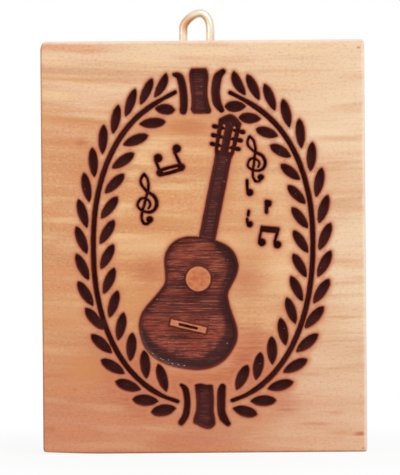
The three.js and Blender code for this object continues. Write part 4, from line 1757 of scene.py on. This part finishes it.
@dataclass
class FoldedStrap:
    """The sheet strap on the board's back, folded at its top round the ring's bar.

    Lengths are in millimetres.

    Attributes:
        middle: The x of its middle line.
        back: The y of the board's back.
        bar_height: The z of the ring's bar.
        thickness: The sheet's thickness.
        half_width: Half the tongue's width.
        half_neck: Half the knuckle's width.
        half_tip: Half the width that the tongue's rounded end keeps.
        inner: The knuckle's inner radius.
        throat: How far below the bar the two layers meet.
        fold_end: How far below the bar the folded layer ends.
        shoulder: How far below the bar the tongue widens.
        screw_height: The z of the screw, about which the tongue's end is rounded.
        hole_radius: The screw hole's radius.
        softness: How far the sheet's edges are rounded.
    """

    middle: float = HANGER_X
    back: float = BOARD_THICKNESS / 2
    bar_height: float = BAR_HEIGHT
    thickness: float = 0.8
    half_width: float = 4.5
    half_neck: float = 2.3
    half_tip: float = 0.35
    inner: float = 1.8
    throat: float = 5.0
    fold_end: float = 8.0
    shoulder: float = 3.4
    screw_height: float = SCREW_HEIGHT
    hole_radius: float = 1.75
    softness: float = 0.14

    def knuckle(self) -> list[Place]:
        """Draws the folded layer and the knuckle, from the folded end round the bar.

        Returns:
            Rows of y, z and half width.
        """
        radius = self.inner + self.thickness / 2
        y, neck = self.back + self.inner + self.thickness, self.half_neck
        lean = 2 * math.atan(self.inner / self.throat)
        outer = self.back + 1.5 * self.thickness
        end = self.bar_height - self.fold_end
        meet = self.bar_height - self.throat - 0.35
        start = (y + radius * math.cos(lean), self.bar_height - radius * math.sin(lean))
        rows = [(outer, z, neck) for z in np.linspace(end, meet, 5)]
        for share in np.linspace(0, 1, 7)[1:-1]:
            ease = share * share * (3 - 2 * share) * 0.25 + share * 0.75
            rows.append((outer + (start[0] - outer) * ease, meet + (start[1] - meet) * share, neck))
        for angle in np.linspace(-lean, math.pi, 30):
            up = radius * math.sin(angle)
            rows.append((y + radius * math.cos(angle), self.bar_height + up, neck))
        return rows

    def tongue(self) -> list[Place]:
        """Draws the layer on the board, from the bar down to the rounded end.

        Returns:
            Rows of y, z and half width.
        """
        flat, neck = self.back + self.thickness / 2, self.half_neck
        widen, rise = self.bar_height - self.shoulder, self.half_width - neck
        rows = [(flat, z, neck) for z in np.linspace(self.bar_height, widen + 0.05, 5)[1:]]
        for angle in np.linspace(0, math.pi / 2, 9):
            rows.append((flat, widen - rise * (1 - math.cos(angle)), neck + rise * math.sin(angle)))
        rows += [(flat, z, self.half_width) for z in np.linspace(widen - rise, self.screw_height, 9)[1:]]
        for angle in np.linspace(0, math.pi / 2, 15)[1:]:
            width = max(self.half_width * math.cos(angle), self.half_tip)
            rows.append((flat, self.screw_height - self.half_width * math.sin(angle), width))
        return rows

    def make(self) -> bpy.types.Object:
        """Bends the sheet, drills and softens it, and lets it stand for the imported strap.

        Returns:
            The strap.
        """
        rows = np.array(self.knuckle() + self.tongue())
        way = np.gradient(rows[:, :2], axis=0)
        way *= self.thickness / 2 / np.linalg.norm(way, axis=1)[:, None]
        sides, layers = SQUARE.T
        skin = Skin()
        skin.tube([
            skin.add(self.middle + sides * width, y - layers * up, z + layers * out)
            for (y, z, width), (out, up) in zip(rows, way)
        ])
        strap = skin.make("folded_strap")
        drill = [(self.hole_radius, -2.0), (self.hole_radius, 3.0)]
        cut(strap, turned("strap_hole", drill, (self.middle, self.back, self.screw_height), sides=40))
        soften(strap, self.softness)
        finish = Brass(
            name="satin_brass",
            bright=srgb(220, 188, 130),
            dull=srgb(184, 142, 88),
            roughness=0.3,
            scratch=(0.4, 0.4, 9.0),
        )
        strap.data.materials.append(finish.material())
        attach(strap, Body.MOULD.value)
        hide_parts(Node.STRAP.value)
        return strap


@dataclass
class CrossScrew:
    """The screw through the strap: a domed head with a cross recess, over a threaded shank.

    Lengths are in millimetres.

    Attributes:
        foot: The middle of the head's underside.
        head_radius: The head's radius.
        head_height: Its height.
        head_sides: How many sides it has.
        chamfer: The width of the slope round its underside.
        brim: The height of its upright edge.
        dome: How full the dome over it is, as a share of the radius.
        shank_radius: The thread's outer radius.
        root_radius: Its inner radius.
        tip_radius: The radius at the shank's tip.
        length: The shank's length below the head.
        overlap: How far the shank reaches into the head.
        point: The length of its point.
        pitch: The thread's pitch.
        crest: How steep the thread is: the larger, the sharper.
        shank_sides: How many sides the shank has.
        shank_steps: How many steps it has along its length.
        recess_span: The cross recess's span.
        recess_width: Its width.
        recess_depth: Its depth.
        recess_shares: How much of its span and width it has at its bottom and over its top.
    """

    foot: Place = (HANGER_X, 10.8, SCREW_HEIGHT)
    head_radius: float = 3.0
    head_height: float = 2.2
    head_sides: int = 48
    chamfer: float = 0.15
    brim: float = 0.5
    dome: float = 0.86
    shank_radius: float = 1.5
    root_radius: float = 1.12
    tip_radius: float = 0.05
    length: float = 12.0
    overlap: float = 0.1
    point: float = 4.0
    pitch: float = 1.3
    crest: float = 3.2
    shank_sides: int = 32
    shank_steps: int = 120
    recess_span: float = 3.4
    recess_width: float = 0.8
    recess_depth: float = 1.2
    recess_shares: tuple[float, float] = (0.72, 1.06)

    def head(self) -> bpy.types.Object:
        """Turns the domed head and cuts the cross into it.

        Returns:
            The head.
        """
        radius = self.head_radius
        profile = [(radius - self.chamfer, 0.0), (radius, self.chamfer), (radius, self.brim)]
        rim, top = np.array((radius, self.brim)), np.array((0.0, self.head_height))
        control = np.array((self.dome * radius, self.head_height))
        for t in np.linspace(0, 0.97, 14)[1:]:
            profile.append(tuple(rim * (1 - t) ** 2 + control * 2 * t * (1 - t) + top * t * t))
        made = turned("screw_head", profile, self.foot, self.head_sides)
        for turn in (0.0, math.pi / 2):
            cut(made, self.slot(turn))
        soften(made, width=0.08, angle=40.0, segments=2)
        return made

    def slot(self, turn: float) -> bpy.types.Object:
        """Makes the solid that cuts one arm of the cross, narrower at its bottom.

        Args:
            turn: The arm's turn about the screw's axis.

        Returns:
            The cutting solid.
        """
        skin, rings = Skin(), []
        cosine, sine = math.cos(turn), math.sin(turn)
        levels = (self.head_height - self.recess_depth, self.head_height + 0.5)
        for out, share in zip(levels, self.recess_shares):
            x, z = (SQUARE * (self.recess_span, self.recess_width)).T * share / 2
            rings.append(skin.add(
                self.foot[0] + x * cosine - z * sine,
                self.foot[1] + out,
                self.foot[2] + x * sine + z * cosine,
            ))
        skin.tube(rings)
        return skin.make("screw_slot")

    def shank(self) -> bpy.types.Object:
        """Turns the shank, with its thread wound round it and its point drawn out.

        Returns:
            The shank.
        """
        cosines, sines = circle(self.shank_sides)
        around = np.arange(self.shank_sides) / self.shank_sides
        x, y, z = self.foot
        skin, rings = Skin(), []
        for down in np.linspace(0, self.length, self.shank_steps + 1):
            taper = min(1.0, (self.length - down) / self.point) ** 0.8
            wind = (down / self.pitch + around) % 1.0
            thread = np.maximum(0.0, 1 - np.abs(wind - 0.5) * self.crest)
            radius = self.root_radius + (self.shank_radius - self.root_radius) * thread
            radius = np.maximum(radius * taper, self.tip_radius)
            rings.append(skin.add(x + radius * cosines, y + self.overlap - down, z + radius * sines))
        skin.tube(rings)
        made = skin.make("screw_shank")
        smooth(made, 35.0)
        return made

    def make(self) -> list[bpy.types.Object]:
        """Makes the head and the shank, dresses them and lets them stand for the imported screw.

        Returns:
            The head and the shank.
        """
        finish = Brass(
            name="turned_brass",
            bright=srgb(228, 198, 142),
            dull=srgb(196, 154, 98),
            roughness=0.22,
            scratch=(5.0, 5.0, 5.0),
        )
        metal = finish.material()
        pieces = [self.head(), self.shank()]
        for piece in pieces:
            piece.data.materials.append(metal)
            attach(piece, Body.MOULD.value)
        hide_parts(Node.SCREW.value)
        return pieces


# The studio


@dataclass(frozen=True)
class Lamp:
    """A square soft light that faces the board.

    Attributes:
        name: Its name.
        place: Where it stands, in metres.
        size: The length of its side, in metres.
        power: Its power in watts.
    """

    name: str
    place: Place
    size: float
    power: float

    def make(self, target: Place) -> None:
        """Adds the light.

        Args:
            target: The place that it faces.
        """
        light = bpy.data.lights.new(self.name, "AREA")
        light.size, light.energy = self.size, self.power
        made = linked(self.name, light)
        made.location = self.place
        made.rotation_mode = "QUATERNION"
        made.rotation_quaternion = (Vector(target) - Vector(self.place)).to_track_quat("-Z", "Y")


@dataclass
class Studio:
    """A pale floor and backdrop, soft lights and the camera.

    Attributes:
        distance: The camera's distance from the board's face, in metres.
        aim: The x and z that the camera looks at, in metres.
        view_height: The height that the picture shows at the board's face, in metres.
        roll: The camera's roll, in degrees.
        sensor: The width of the camera's sensor, in millimetres.
        reach: How far the floor reaches to every side, in millimetres.
        backdrop_height: The backdrop's height, in millimetres.
        shadow_near: The distance from the middle that shadows show up to, in metres.
        shadow_far: The distance where the paper is plain white.
        lamps: The lights.
        target: The place that they face, in metres.
        world_strength: The strength of the even light from all round.
    """

    distance: float = 0.900
    aim: tuple[float, float] = (-0.00126, 0.07313)
    view_height: float = 0.1611
    roll: float = -0.45
    sensor: float = 36.0
    reach: float = 3000.0
    backdrop_height: float = 4000.0
    shadow_near: float = 0.05
    shadow_far: float = 0.16
    lamps: tuple[Lamp, ...] = (
        Lamp("key", place=(0.45, -0.75, 0.75), size=0.5, power=4.2),
        Lamp("fill", place=(-0.7, -0.8, 0.35), size=0.7, power=1.4),
    )
    target: Place = (0.0, 0.0, 0.07)
    world_strength: float = 0.7

    def camera(self) -> None:
        """Places the camera straight in front of the board."""
        lens = bpy.data.cameras.new("camera")
        made = linked("camera", lens)
        away = -BOARD_THICKNESS / 2 * MM - self.distance
        place = Matrix.Translation((self.aim[0], away, self.aim[1]))
        straight = Matrix.Rotation(math.radians(90), 4, "X")
        made.matrix_world = place @ straight @ Matrix.Rotation(math.radians(self.roll), 4, "Z")
        lens.sensor_width = self.sensor
        lens.lens = self.sensor * self.distance / self.view_height
        lens.clip_start, lens.clip_end = 0.05, 20.0
        bpy.context.scene.camera = made

    def paper(self, name: str, shadow: float) -> bpy.types.Material:
        """Makes the pale floor's or backdrop's material, which the camera sees as white.

        Args:
            name: The material's name.
            shadow: How much of the light that falls on it still shows, which keeps shadows.

        Returns:
            The material.
        """
        sheet = ShaderSheet(name)
        sheet.finish(Base_Color=srgb(238, 238, 238), Roughness=0.9)
        glow = sheet.add("Emission", "Emission", {"Strength": 1.0})
        away = sheet.length(sheet.place)
        share = sheet.seen() * away.spread(self.shadow_near, self.shadow_far, 1 - shadow, 1.0)
        sheet.blend(share, sheet.surface, glow)
        return sheet.material

    def sheets(self) -> None:
        """Lays the floor and hangs the backdrop."""
        reach = self.reach
        for name, shadow, y, z in (
            ("floor", 0.12, (-reach, -reach, reach, reach), 0),
            ("backdrop", 0.0, reach, (0, 0, self.backdrop_height, self.backdrop_height)),
        ):
            skin = Skin()
            skin.faces.append(skin.add((-reach, reach, reach, -reach), y, z).tolist())
            made = skin.make(name)
            made.data.materials.append(self.paper(name + "_paper", shadow))

    def world(self) -> None:
        """Lights the scene evenly from all round, and shows white where nothing stands."""
        world = bpy.data.worlds.new("studio")
        bpy.context.scene.world = world
        world.use_nodes = True
        sheet = NodeSheet(world.node_tree, "OutputWorld")
        lighting, shown = (
            sheet.add("Background", "Background", {"Color": WHITE, "Strength": strength})
            for strength in (self.world_strength, 1.0)
        )
        sheet.blend(sheet.seen(), lighting, shown)

    def make(self) -> None:
        """Sets the whole studio up."""
        bpy.context.scene.view_settings.view_transform = "Standard"
        self.camera()
        self.sheets()
        self.world()
        for lamp in self.lamps:
            lamp.make(self.target)


def main() -> None:
    """Builds the board, the hanger and the studio, and reports each piece."""
    logging.basicConfig(level=logging.INFO)
    Studio().make()
    for maker in (CarvedBoard(), WireRing(), FoldedStrap(), CrossScrew()):
        made = maker.make()
        for piece in made if isinstance(made, list) else [made]:
            mesh = piece.data
            LOG.info("%s: %d points, %d faces", piece.name, len(mesh.vertices), len(mesh.polygons))


if __name__ == "__main__":
    main()
